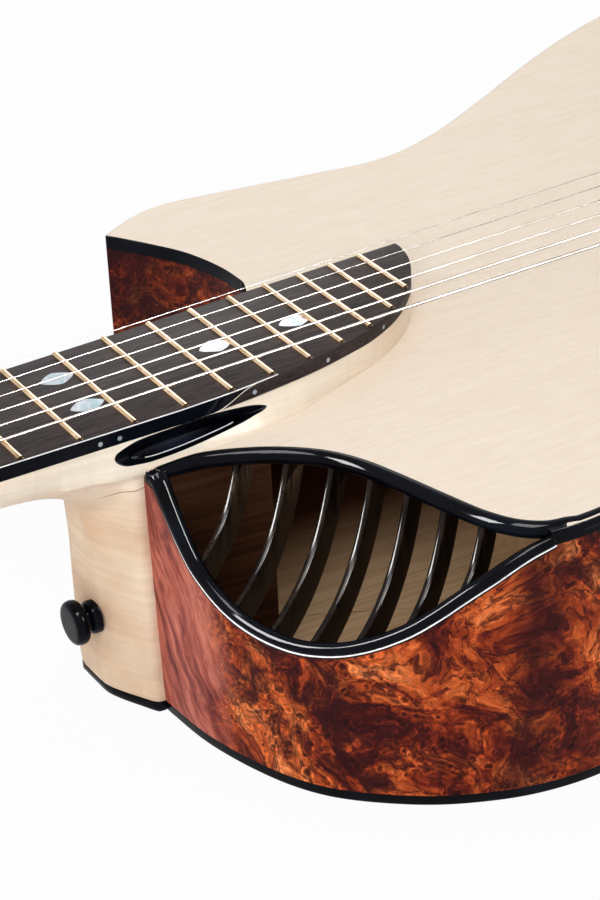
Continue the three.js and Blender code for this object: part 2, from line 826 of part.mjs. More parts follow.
function bridge() {
  const half = bridgeLength / 2;
  const front = saddleX - (bridgeWidth - bridgeSetback);
  const rear = saddleX + bridgeSetback;
  const middle = (front + rear) / 2;
  const wing = bridgeEndWidth / 2;
  const shoulder = half * bridgeShoulderShare;
  const deck = [
    v2(front, stringShift - shoulder), v2(middle - wing, stringShift - half),
    v2(middle + wing, stringShift - half), v2(rear, stringShift - shoulder),
    v2(rear, stringShift + shoulder), v2(middle + wing, stringShift + half),
    v2(middle - wing, stringShift + half), v2(front, stringShift + shoulder),
  ];
  const base = topZ + fitGap;
  const tieHalf = saddleLength / 2;
  let body = solidFrom(slab(deck, base, topZ + bridgeHeight)).add(
    boxSolid(
      [rear - tieWidth, stringShift - tieHalf, base],
      [rear, stringShift + tieHalf, topZ + bridgeHeight + tieHeight],
    ),
  );
  const slotSide = tieHalf + fitGap;
  const seat = topZ + bridgeHeight - saddleSeat;
  body = body.subtract(
    boxSolid([saddleX - saddleWidth - 2 * fitGap, stringShift - slotSide, seat],
      [saddleX, stringShift + slotSide, overrun]),
  );
  stringDiameters.forEach((diameter, index) => {
    const hole = turned(barProfile(diameter / 2 + fitGap, -tieWidth, tieWidth), 6);
    body = body.subtract(
      placed(hole.rotateY(Math.PI / 2), moveBy(tieX, stringY(index, tieX), tieZ)),
    );
  });
  return body;
}

function saddle() {
  const half = saddleLength / 2;
  const low = topZ + bridgeHeight - saddleSeat + fitGap;
  const last = stringDiameters.length - 1;
  const topAt = (index) => saddleZ(index) - stringDiameters[index] / 2 - fitGap;
  const face = [
    v2(stringShift - half, low), v2(stringShift + half, low),
    v2(stringShift + half, topAt(0) - fitGap), v2(stringY(0, saddleX), topAt(0)),
    v2(stringY(last, saddleX), topAt(last)), v2(stringShift - half, topAt(last) - fitGap),
  ];
  const stand = new THREE.Matrix4().makeBasis(v3(0, 1, 0), v3(0, 0, 1), v3(1, 0, 0));
  const place = moveBy(saddleX - fitGap, 0, 0).multiply(stand);
  return placed(slab(face, -saddleWidth, 0), place);
}

function nut() {
  const half = nutWidth / 2;
  let block = boxSolid([-nutLength + fitGap, -half, woodTop + fitGap],
    [-fitGap, half, woodTop + nutHeight]);
  stringDiameters.forEach((diameter, index) => {
    const room = diameter / 2 + fitGap;
    const y = stringY(index, -nutLength / 2);
    const low = [-2 * nutLength, y - room, nutAction - fitGap];
    block = block.subtract(boxSolid(low, [nutLength, y + room, overrun]));
  });
  return block;
}

// Plates and trim of the body
const frontGuard = boxSolid([joinX - overrun, -heelBassHalf, deepest],
  [joinX + sideThickness + fitGap, cutawayStartShare * hornHalf + fitGap, overrun]);

const cornerNotch = boxSolid([joinX - overrun, -2 * heelBassHalf, deepest],
  [joinX + 2 * rimRadius, -slotCentreHalf, overrun]);

function soundboard() {
  return prism(sideThickness + fitGap, topZ - topThickness, topZ)
    .subtract(cornerNotch)
    .subtract(port)
    .subtract(upperBeadRoom)
    .subtract(lowerBeadRoom)
    .subtract(slotRoom);
}

// All that lies beside the port, up to the far end of its upper bead
const beadEnd = upperRimEndShares[upperRimEndShares.length - 1][0] * portLength + rimRadius + fitGap;
const besidePort = placed(
  new THREE.BoxGeometry(4 * overrun, 4 * overrun, beadEnd + 2 * rimRadius),
  portMatrix.clone().multiply(moveBy(0, 0, beadEnd / 2 - rimRadius)),
);

function topBinding() {
  return prism(0, topZ - bindingHeight, topZ)
    .subtract(prism(sideThickness, deepest, overrun))
    .subtract(frontGuard)
    .subtract(besidePort);
}

function backBinding() {
  return prism(0)
    .subtract(prism(sideThickness, deepest - overrun, overrun))
    .intersect(belowBack(backBindingHeight))
    .subtract(belowBack(0));
}

const backPlate = () =>
  prism(sideThickness + fitGap).intersect(belowBack(backThickness)).subtract(belowBack(0));

function side(sign) {
  const low = sign < 0 ? -lowerHalf - overrun : fitGap / 2;
  const high = sign < 0 ? -fitGap / 2 : lowerHalf + overrun;
  const half = boxSolid([joinX - overrun, low, deepest], [tailX + overrun, high, overrun]);
  const wall = prism(0, deepest, topZ - bindingHeight - fitGap)
    .subtract(prism(sideThickness, deepest - overrun, overrun))
    .subtract(belowBack(backBindingHeight + fitGap))
    .intersect(half);
  return sign < 0 ? wall.subtract(port).subtract(lowerBeadRoom).subtract(upperBeadRoom) : wall;
}

const blockRoom = boxSolid([joinX - overrun, -blockBassReach - fitGap, deepest],
  [joinX + sideThickness + blockLength + 2 * fitGap, blockTrebleReach + liningSetback, overrun]);
const portRoom = placed(
  new THREE.BoxGeometry(2 * overrun, 4 * overrun, portMarginBefore + portLength + portMarginAfter),
  portMatrix.clone().multiply(moveBy(0, 0, (portLength + portMarginAfter - portMarginBefore) / 2)),
);
const liningRing = () =>
  cavityOf(sideThickness + fitGap).subtract(
    prism(sideThickness + fitGap + liningWidth, deepest - overrun, overrun));
const liningTop = topZ - topThickness - fitGap;
const topLining = () =>
  liningRing()
    .intersect(boxSolid([0, -2 * lowerHalf, liningTop - liningHeight],
      [tailX + overrun, 2 * lowerHalf, overrun]))
    .subtract(blockRoom)
    .subtract(portRoom);
const backLining = () =>
  liningRing()
    .intersect(belowBack(backThickness + fitGap + liningHeight))
    .subtract(blockRoom);
const neckBlock = () =>
  cavityOf(sideThickness + fitGap)
    .intersect(boxSolid([joinX, -blockBassReach, deepest],
      [joinX + sideThickness + blockLength, blockTrebleReach, overrun]))
    .subtract(slotRoom);

function tailBlock() {
  const inner = cavityOf(sideThickness + 2 * fitGap + liningWidth);
  return inner.intersect(boxSolid([tailX - sideThickness - liningWidth - tailBlockLength,
    -tailBlockHalf, deepest], [tailX, tailBlockHalf, overrun]));
}

const insideLinings = () => cavityOf(sideThickness + 2 * fitGap + liningWidth);

function crossBrace() {
  const arm = (sign) => {
    const turn = moveBy(braceCross, 0, liningTop - braceHeight / 2)
      .multiply(new THREE.Matrix4().makeRotationZ(sign * degrees(braceSpread)));
    return placed(new THREE.BoxGeometry(2 * braceReach, braceWidth, braceHeight), turn);
  };
  return arm(1).add(arm(-1)).intersect(insideLinings()).subtract(blockRoom).subtract(portRoom);
}

function bridgePlate() {
  const front = saddleX - bridgePlateLength / 2;
  const rear = saddleX + bridgePlateLength / 2;
  const clear = braceWidth / Math.cos(degrees(braceSpread)) / 2 + 2 * fitGap;
  const halfAt = (x) => (x - braceCross) * Math.tan(degrees(braceSpread)) - clear;
  const shape = [v2(front, -halfAt(front)), v2(rear, -halfAt(rear)), v2(rear, halfAt(rear)),
    v2(front, halfAt(front))];
  return solidFrom(slab(shape, liningTop - bridgePlateThickness, liningTop));
}

function backBrace(index) {
  const x = joinX + backBraceStationsShare[index] * bodyLength;
  const bar = boxSolid([x - braceWidth / 2, -lowerHalf, deepest],
    [x + braceWidth / 2, lowerHalf, overrun]);
  return insideLinings().intersect(bar).intersect(belowBack(backThickness + fitGap + backBraceHeight));
}

// Truss rod under the board, with its nut in a pocket behind the string nut
function trussRod() {
  const start = -nutLength - rodNutOffset;
  const thread = turned(barProfile(rodThreadRadius, start - rodThreadLength, start + fitGap), 8);
  const bar = turned(barProfile(rodRadius, start, rodEnd), 8);
  return placed(thread.rotateY(Math.PI / 2), moveBy(0, 0, -rodDrop))
    .add(placed(bar.rotateY(Math.PI / 2), moveBy(0, 0, -rodDrop)));
}

function trussRodNut() {
  const hex = turned(barProfile(rodNutRadius, 0, rodNutLength), 6);
  const bore = turned(barProfile(rodThreadRadius + fitGap, -overrun, overrun), 8);
  const start = -nutLength - rodNutOffset - fitGap - rodNutLength;
  return solidFrom(hex.rotateY(Math.PI / 2).translate(start, 0, -rodDrop))
    .subtract(placed(bore.rotateY(Math.PI / 2), moveBy(start, 0, -rodDrop)));
}

const plateOnHead = (points, low, high) => placed(slab(points, low, high), headMatrix);

function headplate() {
  const start = -nutLength / 2;
  const end = -2 * headLength;
  const trim = [v2(end, -overrun), v2(start, -overrun), v2(start, overrun), v2(end, overrun)];
  return plateOnHead(headOutline(), fitGap, fitGap + headplateThickness)
    .intersect(plateOnHead(trim, 0, overrun))
    .subtract(rodPocket)
    .subtract(tunerHoles(-overrun, overrun));
}

function trussRodCover() {
  const start = -nutLength;
  const end = start - rodPocketLength - rodCoverMargin;
  const half = rodPocketHalf + rodCoverMargin;
  const shape = [v2(start, -half), v2(start, half), v2((start + end) / 2, half), v2(end, 0),
    v2((start + end) / 2, -half)].reverse();
  const low = 2 * fitGap + headplateThickness;
  return plateOnHead(shape, low, low + rodCoverThickness);
}

// One tuner in its own frame: the post stands on Z and the knob looks along -Y
const gearZ = -headThickness - fitGap - gearDrop - gearThickness / 2;
const wormX = -gearRadius - wormRadius - fitGap;

function tunerPost() {
  const low = gearZ - gearThickness / 2;
  const waist = postRadius - 2 * fitGap;
  return turned([
    [0, low], [gearRadius, low], [gearRadius, low + gearThickness],
    [postRadius, low + gearThickness], [postRadius, postHeight - 2 * fitGap],
    [waist, postHeight], [0, postHeight],
  ], 12);
}

function tunerHousing() {
  const top = -headThickness - fitGap;
  const low = gearZ - gearThickness / 2 - fitGap - housingWall;
  const rear = wormX - wormRadius - housingMargin - housingWall;
  const front = gearRadius + housingMargin + housingWall;
  const shell = boxSolid([rear, -housingHalf, low], [front, housingHalf, top]);
  const hollow = boxSolid([rear + housingWall, -housingHalf + housingWall, low + housingWall],
    [front - housingWall, housingHalf - housingWall, overrun]);
  const bore = turned(barProfile(shaftRadius + fitGap, 0, 2 * housingHalf), 10).rotateX(Math.PI / 2);
  return shell.subtract(hollow).subtract(placed(bore, moveBy(wormX, 0, gearZ)));
}

function tunerKnob() {
  const worm = turned(barProfile(wormRadius, -wormHalf, wormHalf), 10).rotateX(Math.PI / 2);
  const shaft = turned(barProfile(shaftRadius, 0, knobOffset), 10).rotateX(Math.PI / 2);
  const button = new THREE.SphereGeometry(1, 10, 6)
    .scale(knobHalfWidth, knobHalfLength, knobHalfThickness)
    .translate(0, -knobOffset, 0);
  return solidFrom(worm).add(solidFrom(shaft)).add(solidFrom(button));
}

function strapButton() {
  return turned([
    [0, 0], [buttonFlange, 0], [buttonFlange, buttonSeat / 2], [buttonWaist, buttonSeat],
    [buttonWaist, buttonLength - buttonDisc], [buttonRadius - fitGap, buttonLength - buttonDisc],
    [buttonRadius, buttonLength - buttonDisc / 2], [buttonRadius - 2 * fitGap, buttonLength],
    [0, buttonLength],
  ], 16);
}

// Finishes
const finish = (color, roughness, metalness = 0) =>
  new THREE.MeshStandardMaterial({ color, roughness, metalness });
const spruce = finish(0xf2e3cc, 0.35);
const burl = finish(0x9c4524, 0.25);
const maple = finish(0xe6cfae, 0.3);
const ebony = finish(0x17151a, 0.3);
const boardEbony = finish(0x2b2628, 0.5);
const trim = finish(0x0b0c12, 0.15);
const innerWood = finish(0xc9a878, 0.7);
const bone = finish(0xf0ead8, 0.4);
const steel = finish(0xb8b8bc, 0.3, 1);
const bronze = finish(0xd8cdb8, 0.35, 1);
const gold = finish(0xc9a35a, 0.3, 1);

const guitar = new THREE.Group();

function addMesh(parent, name, shape, material) {
  const geometry = shape.isBufferGeometry ? shape : geometryFrom(shape);
  const mesh = new THREE.Mesh(geometry, material);
  mesh.name = name;
  parent.add(mesh);
  return mesh;
}

// Body
addMesh(guitar, "soundboard", soundboard(), spruce);
addMesh(guitar, "back_plate", backPlate(), burl);
addMesh(guitar, "bass_side", side(-1), burl);
addMesh(guitar, "treble_side", side(1), burl);
addMesh(guitar, "top_binding", topBinding(), trim);
addMesh(guitar, "back_binding", backBinding(), trim);
addMesh(guitar, "top_lining", topLining(), innerWood);
addMesh(guitar, "back_lining", backLining(), innerWood);
addMesh(guitar, "neck_block", neckBlock(), innerWood);
addMesh(guitar, "tail_block", tailBlock(), innerWood);
addMesh(guitar, "cross_brace", crossBrace(), innerWood);
addMesh(guitar, "bridge_plate", bridgePlate(), innerWood);
backBraceStationsShare.forEach((_, i) => {
  addMesh(guitar, `back_brace_${i + 1}`, backBrace(i), innerWood);
});

// Port
addMesh(guitar, "upper_port_rim", upperBead, trim);
addMesh(guitar, "lower_port_rim", beadOf(lowerPath, 0).subtract(upperBeadRoom), trim);
for (let i = 0; i < ribCount; i += 1) addMesh(guitar, `port_rib_${i + 1}`, portRib(i), ebony);
addMesh(guitar, "slot_lining", slotLining(), trim);

// Neck
addMesh(guitar, "neck", neck(), maple);
addMesh(guitar, "heel_cap", heelCap(), trim);
addMesh(guitar, "fretboard", fretboard(), boardEbony);
addMesh(guitar, "nut", nut(), bone);
addMesh(guitar, "headplate", headplate(), ebony);
addMesh(guitar, "truss_rod", trussRod(), steel);
addMesh(guitar, "truss_rod_nut", trussRodNut(), steel);
addMesh(guitar, "truss_rod_cover", trussRodCover(), ebony);

// Bridge and strings
addMesh(guitar, "bridge", bridge(), ebony);
addMesh(guitar, "saddle", saddle(), bone);
stringDiameters.forEach((_, i) => {
  addMesh(guitar, `string_${i + 1}`, guitarString(i), i < 2 ? steel : bronze);
});

// Strap button on the heel and end pin on the tail
const button = addMesh(guitar, "strap_button", strapButton(), trim);
const heelFace = joinX - fitGap - heelReach + (heelTaper * (buttonDrop - heelTopDrop)) / neckDepth;
button.position.set(heelFace - fitGap, -buttonHalf, -buttonDrop);
button.rotation.y = -Math.PI / 2;
const pin = addMesh(guitar, "end_pin", strapButton(), trim);
pin.position.set(tailX + fitGap, 0, -pinDrop - topDrop);
pin.rotation.y = Math.PI / 2;

// Tuners on the head
const head = new THREE.Group();
head.applyMatrix4(headMatrix);
guitar.add(head);
for (let i = 0; i < tunerCount; i += 1) {
  const { x, y, side: flank } = tunerPlace(i);
  const tuner = new THREE.Group();
  tuner.position.set(x, y, 0);
  tuner.rotation.z = flank > 0 ? Math.PI : 0;
  head.add(tuner);
  addMesh(tuner, `tuner_post_${i + 1}`, tunerPost(), steel);
  addMesh(tuner, `tuner_housing_${i + 1}`, tunerHousing(), steel);
  addMesh(tuner, `tuner_knob_${i + 1}`, tunerKnob(), gold).position.set(wormX, 0, gearZ);
}

// The back's outer face goes level, and the middle of its box becomes the origin
guitar.rotation.y = -taperAngle;
const part = new THREE.Group();
part.add(guitar);
part.updateMatrixWorld(true);
const bounds = new THREE.Box3().setFromObject(part, true);
const middle = bounds.getCenter(v3(0, 0, 0));
guitar.position.set(-middle.x, -middle.y, -bounds.min.z);

export default part;
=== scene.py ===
"""Looks of a six-string cutaway guitar with a ribbed sound port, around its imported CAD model.

Lengths are millimetres of the string frame unless a name says otherwise: X runs from the nut
to the bridge, +Y is the treble side and Z is 0 on the playing surface of the fretboard.
"""

import logging
import math
from dataclasses import dataclass, field
from enum import Enum
from typing import Callable, Sequence

import bmesh
import bpy
from mathutils import Matrix, Vector
from mathutils.bvhtree import BVHTree


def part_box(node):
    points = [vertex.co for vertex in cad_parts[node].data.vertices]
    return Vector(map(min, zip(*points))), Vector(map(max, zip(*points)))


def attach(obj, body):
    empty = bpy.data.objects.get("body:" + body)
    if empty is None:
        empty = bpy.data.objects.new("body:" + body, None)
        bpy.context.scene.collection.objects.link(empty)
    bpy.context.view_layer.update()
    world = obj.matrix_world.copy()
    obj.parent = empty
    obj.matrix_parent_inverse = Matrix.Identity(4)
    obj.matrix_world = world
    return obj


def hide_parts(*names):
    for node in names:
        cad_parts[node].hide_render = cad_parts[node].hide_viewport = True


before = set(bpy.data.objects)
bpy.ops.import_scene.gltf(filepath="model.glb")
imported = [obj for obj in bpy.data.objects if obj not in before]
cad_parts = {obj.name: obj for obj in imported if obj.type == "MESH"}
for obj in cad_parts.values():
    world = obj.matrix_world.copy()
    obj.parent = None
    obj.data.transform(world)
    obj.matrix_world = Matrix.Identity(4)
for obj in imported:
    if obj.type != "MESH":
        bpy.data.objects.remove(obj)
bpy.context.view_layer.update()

log = logging.getLogger("guitar")

MM = 0.001
BODY = "guitar_body"
SCALE = 648.0
JOIN_X = SCALE / 2
BODY_LENGTH = 498.0
TAIL_X = JOIN_X + BODY_LENGTH
TOP_Z = -14.0
NECK_DEPTH = 93.0
TAPER_DROP = 27.0
BOARD_BASE = -6.0
NECK_TOP = -5.0
FIT_GAP = 0.3
WOOD_TOP = BOARD_BASE - FIT_GAP
NUT_LENGTH = 5.0
WELD = 0.002
EASE_ANGLE = 32.0
GROOVE_SHARE = 0.28
Pair = tuple[float, float]
Spot = tuple[float, float, float]
Socket = bpy.types.NodeSocket
MIDDLE = (0.0, -0.08, 0.08)


class Slot(Enum):
    """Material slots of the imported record."""

    SPRUCE = "spruce_top"
    BURL = "burl_wood"
    MAPLE = "maple"
    BOARD = "ebony_board"
    EBONY = "ebony"
    TRIM = "black_trim"
    BONE = "bone"
    STEEL = "steel"
    BRONZE = "bronze"
    GOLD = "gold_metal"


# Geometry in the string frame


@dataclass
class Shape:
    """Points and faces of one mesh, before it is placed."""

    points: list[Vector] = field(default_factory=list)
    faces: list[tuple[int, ...]] = field(default_factory=list)

    def moved(self, matrix: Matrix) -> "Shape":
        """Returns a copy carried by a matrix."""
        return Shape([matrix @ p for p in self.points], list(self.faces))

    def plus(self, other: "Shape") -> "Shape":
        """Returns one shape that holds this one and another."""
        shift = len(self.points)
        faces = [tuple(i + shift for i in face) for face in other.faces]
        return Shape(self.points + other.points, self.faces + faces)


def smooth_line(points: Sequence[Sequence[float]], steps: int) -> list[Vector]:
    """Runs a Catmull-Rom curve through points.

    Args:
        points: the points that the curve passes, in two or three dimensions.
        steps: samples from each point to the next.

    Returns:
        The samples, with both end points.
    """
    last = len(points) - 1
    line: list[Vector] = []
    for i in range(last):
        a, b, c, d = (Vector(points[min(max(j, 0), last)]) for j in range(i - 1, i + 3))
        v0, v1 = (c - a) / 2, (d - b) / 2
        for k in range(steps):
            t = k / steps
            cubic = (2 * b - 2 * c + v0 + v1) * t**3
            line.append(cubic + (3 * c - 3 * b - 2 * v0 - v1) * t**2 + v0 * t + b)
    line.append(Vector(points[last]))
    return line


def eased(share: float) -> float:
    """Returns a share from 0 to 1 that starts and ends softly."""
    return share * share * (3 - 2 * share)


def value_at(table: Sequence[Sequence[float]], place: float) -> float:
    """Reads a table of (place, value) rows along straight lines.

    Args:
        table: rows with rising places.
        place: where to read it.

    Returns:
        The value, held at the first and last rows outside them.
    """
    if place <= table[0][0]:
        return table[0][1]
    for (a, low), (b, high) in zip(table, table[1:]):
        if place <= b:
            return low + (high - low) * (place - a) / (b - a)
    return table[-1][1]


def skin(rings: Sequence[Sequence[Vector]], caps: bool = True) -> Shape:
    """Joins rings of equal count into one surface.

    Args:
        rings: the rings, each a list of points going round the same way.
        caps: whether the first and last rings are closed by a face.

    Returns:
        The surface.
    """
    count = len(rings[0])
    shape = Shape([Vector(p) for ring in rings for p in ring])
    for i in range(len(rings) - 1):
        low, high = i * count, (i + 1) * count
        for j in range(count):
            k = (j + 1) % count
            shape.faces.append((low + j, low + k, high + k, high + j))
    if caps:
        end = (len(rings) - 1) * count
        shape.faces.append(tuple(reversed(range(count))))
        shape.faces.append(tuple(range(end, end + count)))
    return shape


def spokes(sides: int) -> list[Pair]:
    """Returns (cosine, sine) of even spokes round a circle."""
    angles = (2 * math.pi * i / sides for i in range(sides))
    return [(math.cos(a), math.sin(a)) for a in angles]


def quarter(steps: int = 5) -> list[Pair]:
    """Returns (cosine, sine) of even steps through a quarter turn."""
    angles = (math.pi / 2 * k / steps for k in range(steps + 1))
    return [(math.cos(a), math.sin(a)) for a in angles]


def oblong(left: float, right: float, low: float, high: float) -> list[Vector]:
    """Returns the four corners of an oblong in plan."""
    return [Vector((left, low)), Vector((right, low)), Vector((right, high)),
            Vector((left, high))]


def slab(outline: Sequence[Vector], low: Callable[[float], float] | float,
         high: Callable[[float], float] | float) -> Shape:
    """Stands a flat outline up into a plate.

    Args:
        outline: corners in plan.
        low: height of the lower face, or a function of X that gives it.
        high: height of the upper face, or a function of X that gives it.

    Returns:
        The plate, with one many-sided face above and below.
    """
    levels = [z if callable(z) else (lambda x, level=z: level) for z in (low, high)]
    return skin([[Vector((p[0], p[1], level(p[0]))) for p in outline] for level in levels])


def lathe(profile: Sequence[Pair], sides: int) -> Shape:
    """Turns a profile of (radius, height) pairs about Z.

    Args:
        profile: the pairs, from one end of the axis to the other.
        sides: faces round the axis.

    Returns:
        The closed turned shape.
    """
    rings = []
    for radius, height in profile:
        r = max(radius, 0.01)
        rings.append([Vector((r * c, r * s, height)) for c, s in spokes(sides)])
    return skin(rings)


def rails(path: Sequence[Vector]) -> list[tuple[Vector, Vector]]:
    """Carries a pair of side directions along a path without twist.

    Args:
        path: the points of the path.

    Returns:
        Two directions square to the path at each point.
    """
    last = len(path) - 1
    runs = [(path[min(i + 1, last)] - path[max(i - 1, 0)]).normalized() for i in range(last + 1)]
    side = runs[0].orthogonal().normalized()
    pairs = []
    for run in runs:
        side = (side - run * side.dot(run)).normalized()
        pairs.append((side, run.cross(side)))
    return pairs


def tube(path: Sequence[Vector], radius: float | Callable[[float], float], sides: int) -> Shape:
    """Runs a round bar along a path.

    Args:
        path: the points of its middle.
        radius: its radius, or a function of the share of the path that gives it.
        sides: faces round the bar.

    Returns:
        The closed bar.
    """
    rings = []
    for i, (p, (u, v)) in enumerate(zip(path, rails(path))):
        r = radius(i / (len(path) - 1)) if callable(radius) else radius
        rings.append([p + r * (c * u + s * v) for c, s in spokes(sides)])
    return skin(rings)


def wound_tube(path: Sequence[Vector], radius: float, wrap: float, sides: int = 8) -> Shape:
    """Runs a bar with a screw-like winding along a path.

    Args:
        path: closely spaced points of its middle.
        radius: radius over the winding.
        wrap: diameter of the wrap wire, which is also the pitch.
        sides: faces round the bar.

    Returns:
        The winding, as one continuous helical surface.
    """
    step = wrap / 2
    spots: list[tuple[Vector, Vector, Vector, Vector]] = []
    carry = 0.0
    for (a, b), (u, v) in zip(zip(path, path[1:]), rails(path)):
        length = (b - a).length
        run = (b - a) / length
        while carry < length:
            spots.append((a + run * carry, run, u, v))
            carry += step
        carry -= length
    shape = Shape()
    for k, (middle, run, u, v) in enumerate(spots):
        r = radius if k % 2 else radius - GROOVE_SHARE * wrap
        for j, (c, s) in enumerate(spokes(sides)):
            lift = run * (wrap * j / sides)
            shape.points.append(middle + lift + r * (c * u + s * v))
    for k in range(len(spots) - 3):
        for j in range(sides - 1):
            low, high = k * sides + j, (k + 1) * sides + j
            shape.faces.append((low, low + 1, high + 1, high))
        shape.faces.append((k * sides + sides - 1, (k + 2) * sides,
                            (k + 3) * sides, (k + 1) * sides + sides - 1))
    return shape


# Node boards for the finishes


def linear(red: int, green: int, blue: int) -> tuple[float, float, float, float]:
    """Turns an sRGB colour from 0 to 255 into Blender's linear one."""
    parts = [c / 255 for c in (red, green, blue)]
    bent = [c / 12.92 if c <= 0.04045 else ((c + 0.055) / 1.055) ** 2.4 for c in parts]
    return (bent[0], bent[1], bent[2], 1.0)


Colour = tuple[int, int, int]


class Nodes:
    """Short ways to add nodes to a tree."""

    def __init__(self, tree: bpy.types.NodeTree) -> None:
        """Takes a tree and empties it."""
        self.tree = tree
        self.tree.nodes.clear()

    def node(self, kind: str, inputs: dict, **settings: object) -> bpy.types.Node:
        """Adds a node.

        Args:
            kind: Blender's name for the node type.
            inputs: socket names or numbers, with a value or the socket that feeds each.
            settings: the node's own properties.

        Returns:
            The node.
        """
        made = self.tree.nodes.new(kind)
        for key, value in settings.items():
            setattr(made, key, value)
        for key, value in inputs.items():
            if isinstance(value, Socket):
                self.tree.links.new(value, made.inputs[key])
            else:
                made.inputs[key].default_value = value
        return made

    def sum(self, operation: str, first: object, second: object) -> Socket:
        """Returns the result of a two-sided Math node, clamped from 0 to 1."""
        return self.node("ShaderNodeMath", {0: first, 1: second}, operation=operation,
                         use_clamp=True).outputs[0]

    def seen(self) -> Socket:
        """Returns 1 for rays from the camera, from a mirror-like surface or through glass."""
        rays = self.node("ShaderNodeLightPath", {}).outputs
        first = self.sum("MAXIMUM", rays["Is Camera Ray"], rays["Is Glossy Ray"])
        return self.sum("MAXIMUM", first, rays["Is Transmission Ray"])


class Board(Nodes):
    """A new material with its surface shader, and short ways to paint it."""

    def __init__(self, name: str, roughness: float, metallic: float = 0.0) -> None:
        """Starts a material.

        Args:
            name: the material's name.
            roughness: the surface's roughness.
            metallic: 1 for bare metal.
        """
        self.material = bpy.data.materials.new(name)
        self.material.use_nodes = True
        super().__init__(self.material.node_tree)
        output = self.tree.nodes.new("ShaderNodeOutputMaterial")
        self.shader = self.node("ShaderNodeBsdfPrincipled", {"Roughness": roughness,
                                                             "Metallic": metallic})
        self.tree.links.new(self.shader.outputs[0], output.inputs[0])

    def place(self, stretch: Sequence[float] = (1, 1, 1)) -> Socket:
        """Returns the object's own coordinates, stretched along each axis."""
        spot = self.node("ShaderNodeTexCoord", {}).outputs["Object"]
        return self.stretch(spot, stretch)

    def stretch(self, vector: Socket, by: Sequence[float]) -> Socket:
        """Returns a vector multiplied by another."""
        made = self.node("ShaderNodeVectorMath", {0: vector, 1: tuple(by)}, operation="MULTIPLY")
        return made.outputs[0]

    def noise(self, vector: Socket, scale: float, detail: float = 2.0,
              wander: float = 0.0, grit: float = 0.5) -> Socket:
        """Returns the grey value of noise read at a vector."""
        return self.node("ShaderNodeTexNoise", {
            "Vector": vector, "Scale": scale, "Detail": detail, "Distortion": wander,
            "Roughness": grit}).outputs[0]

    def warp(self, vector: Socket, scale: float, reach: float,
             detail: float = 2.0) -> Socket:
        """Pushes a vector about by noise.

        Args:
            vector: the vector to push.
            scale: scale of the noise.
            reach: how far it may go, in the vector's units.
            detail: detail of the noise.

        Returns:
            The pushed vector.
        """
        push = self.noise(vector, scale, detail).node.outputs["Color"]
        centred = self.node("ShaderNodeVectorMath", {0: push, 1: (0.5, 0.5, 0.5)},
                            operation="SUBTRACT").outputs[0]
        far = self.stretch(centred, (reach, reach, reach))
        return self.node("ShaderNodeVectorMath", {0: vector, 1: far}, operation="ADD").outputs[0]

    def ramp(self, value: Socket,
             stops: Sequence[tuple[float, Colour | float]]) -> Socket:
        """Maps a value to colours.

        Args:
            value: the value from 0 to 1.
            stops: places with an sRGB colour, or with a grey level.

        Returns:
            The colour.
        """
        made = self.node("ShaderNodeValToRGB", {0: value})
        marks = made.color_ramp.elements
        while len(marks) < len(stops):
            marks.new(0.5)
        for mark, (at, colour) in zip(marks, stops):
            mark.position = at
            grey = isinstance(colour, (int, float))
            mark.color = (colour, colour, colour, 1) if grey else linear(*colour)
        return made.outputs["Color"]

    def mix(self, factor: object, first: object, second: object,
            mode: str = "MIX") -> Socket:
        """Mixes two colours.

        Args:
            factor: how much of the second, a number or a socket.
            first: the first colour, a socket or an RGBA value.
            second: the second colour.
            mode: Blender's blend mode.

        Returns:
            The mixed colour.
        """
        made = self.node("ShaderNodeMix", {0: factor, 6: first, 7: second},
                         data_type="RGBA", blend_type=mode, clamp_factor=True)
        return made.outputs[2]

    def times(self, first: object, second: object, share: float = 1.0) -> Socket:
        """Returns a colour multiplied by another, as far as a share says."""
        return self.mix(share, first, second, "MULTIPLY")

    def axis(self, vector: Socket, index: int) -> Socket:
        """Returns one of the three numbers of a vector."""
        return self.node("ShaderNodeSeparateXYZ", {0: vector}).outputs[index]

    def span(self, value: Socket, low: float, high: float) -> Socket:
        """Returns where a value lies between two limits, from 0 to 1."""
        return self.node("ShaderNodeMapRange", {"Value": value, "From Min": low,
                                                "From Max": high}).outputs[0]

    def plane(self, normal: Sequence[float], shift: float) -> Socket:
        """Returns the signed distance of the object's coordinates from a plane."""
        spot = self.node("ShaderNodeTexCoord", {}).outputs["Object"]
        far = self.node("ShaderNodeVectorMath", {0: spot, 1: tuple(normal)},
                        operation="DOT_PRODUCT").outputs["Value"]
        return self.node("ShaderNodeMath", {0: far, 1: shift}, operation="ADD").outputs[0]

    def turned(self, degrees: Sequence[float], stretch: Sequence[float],
               vector: Socket) -> Socket:
        """Returns a vector turned about its axes and then stretched."""
        angles = tuple(math.radians(a) for a in degrees)
        made = self.node("ShaderNodeMapping", {"Vector": vector, "Rotation": angles})
        return self.stretch(made.outputs[0], stretch)

    def bump(self, height: Socket, depth: float, strength: float) -> None:
        """Feeds a height field into the surface.

        Args:
            height: the field, from 0 to 1.
            depth: its full depth in millimetres.
            strength: share of it that shows.
        """
        made = self.node("ShaderNodeBump", {"Height": height, "Distance": depth * MM,
                                            "Strength": strength})
        self.tree.links.new(made.outputs[0], self.shader.inputs["Normal"])

    def colour(self, colour: Socket) -> None:
        """Feeds the surface's colour."""
        self.tree.links.new(colour, self.shader.inputs["Base Color"])

    def lacquer(self, weight: float, roughness: float, level: float) -> None:
        """Lays a clear coat over the surface, and sets how strongly the base shines."""
        self.shader.inputs["Coat Weight"].default_value = weight
        self.shader.inputs["Coat Roughness"].default_value = roughness
        self.shader.inputs["Specular IOR Level"].default_value = level


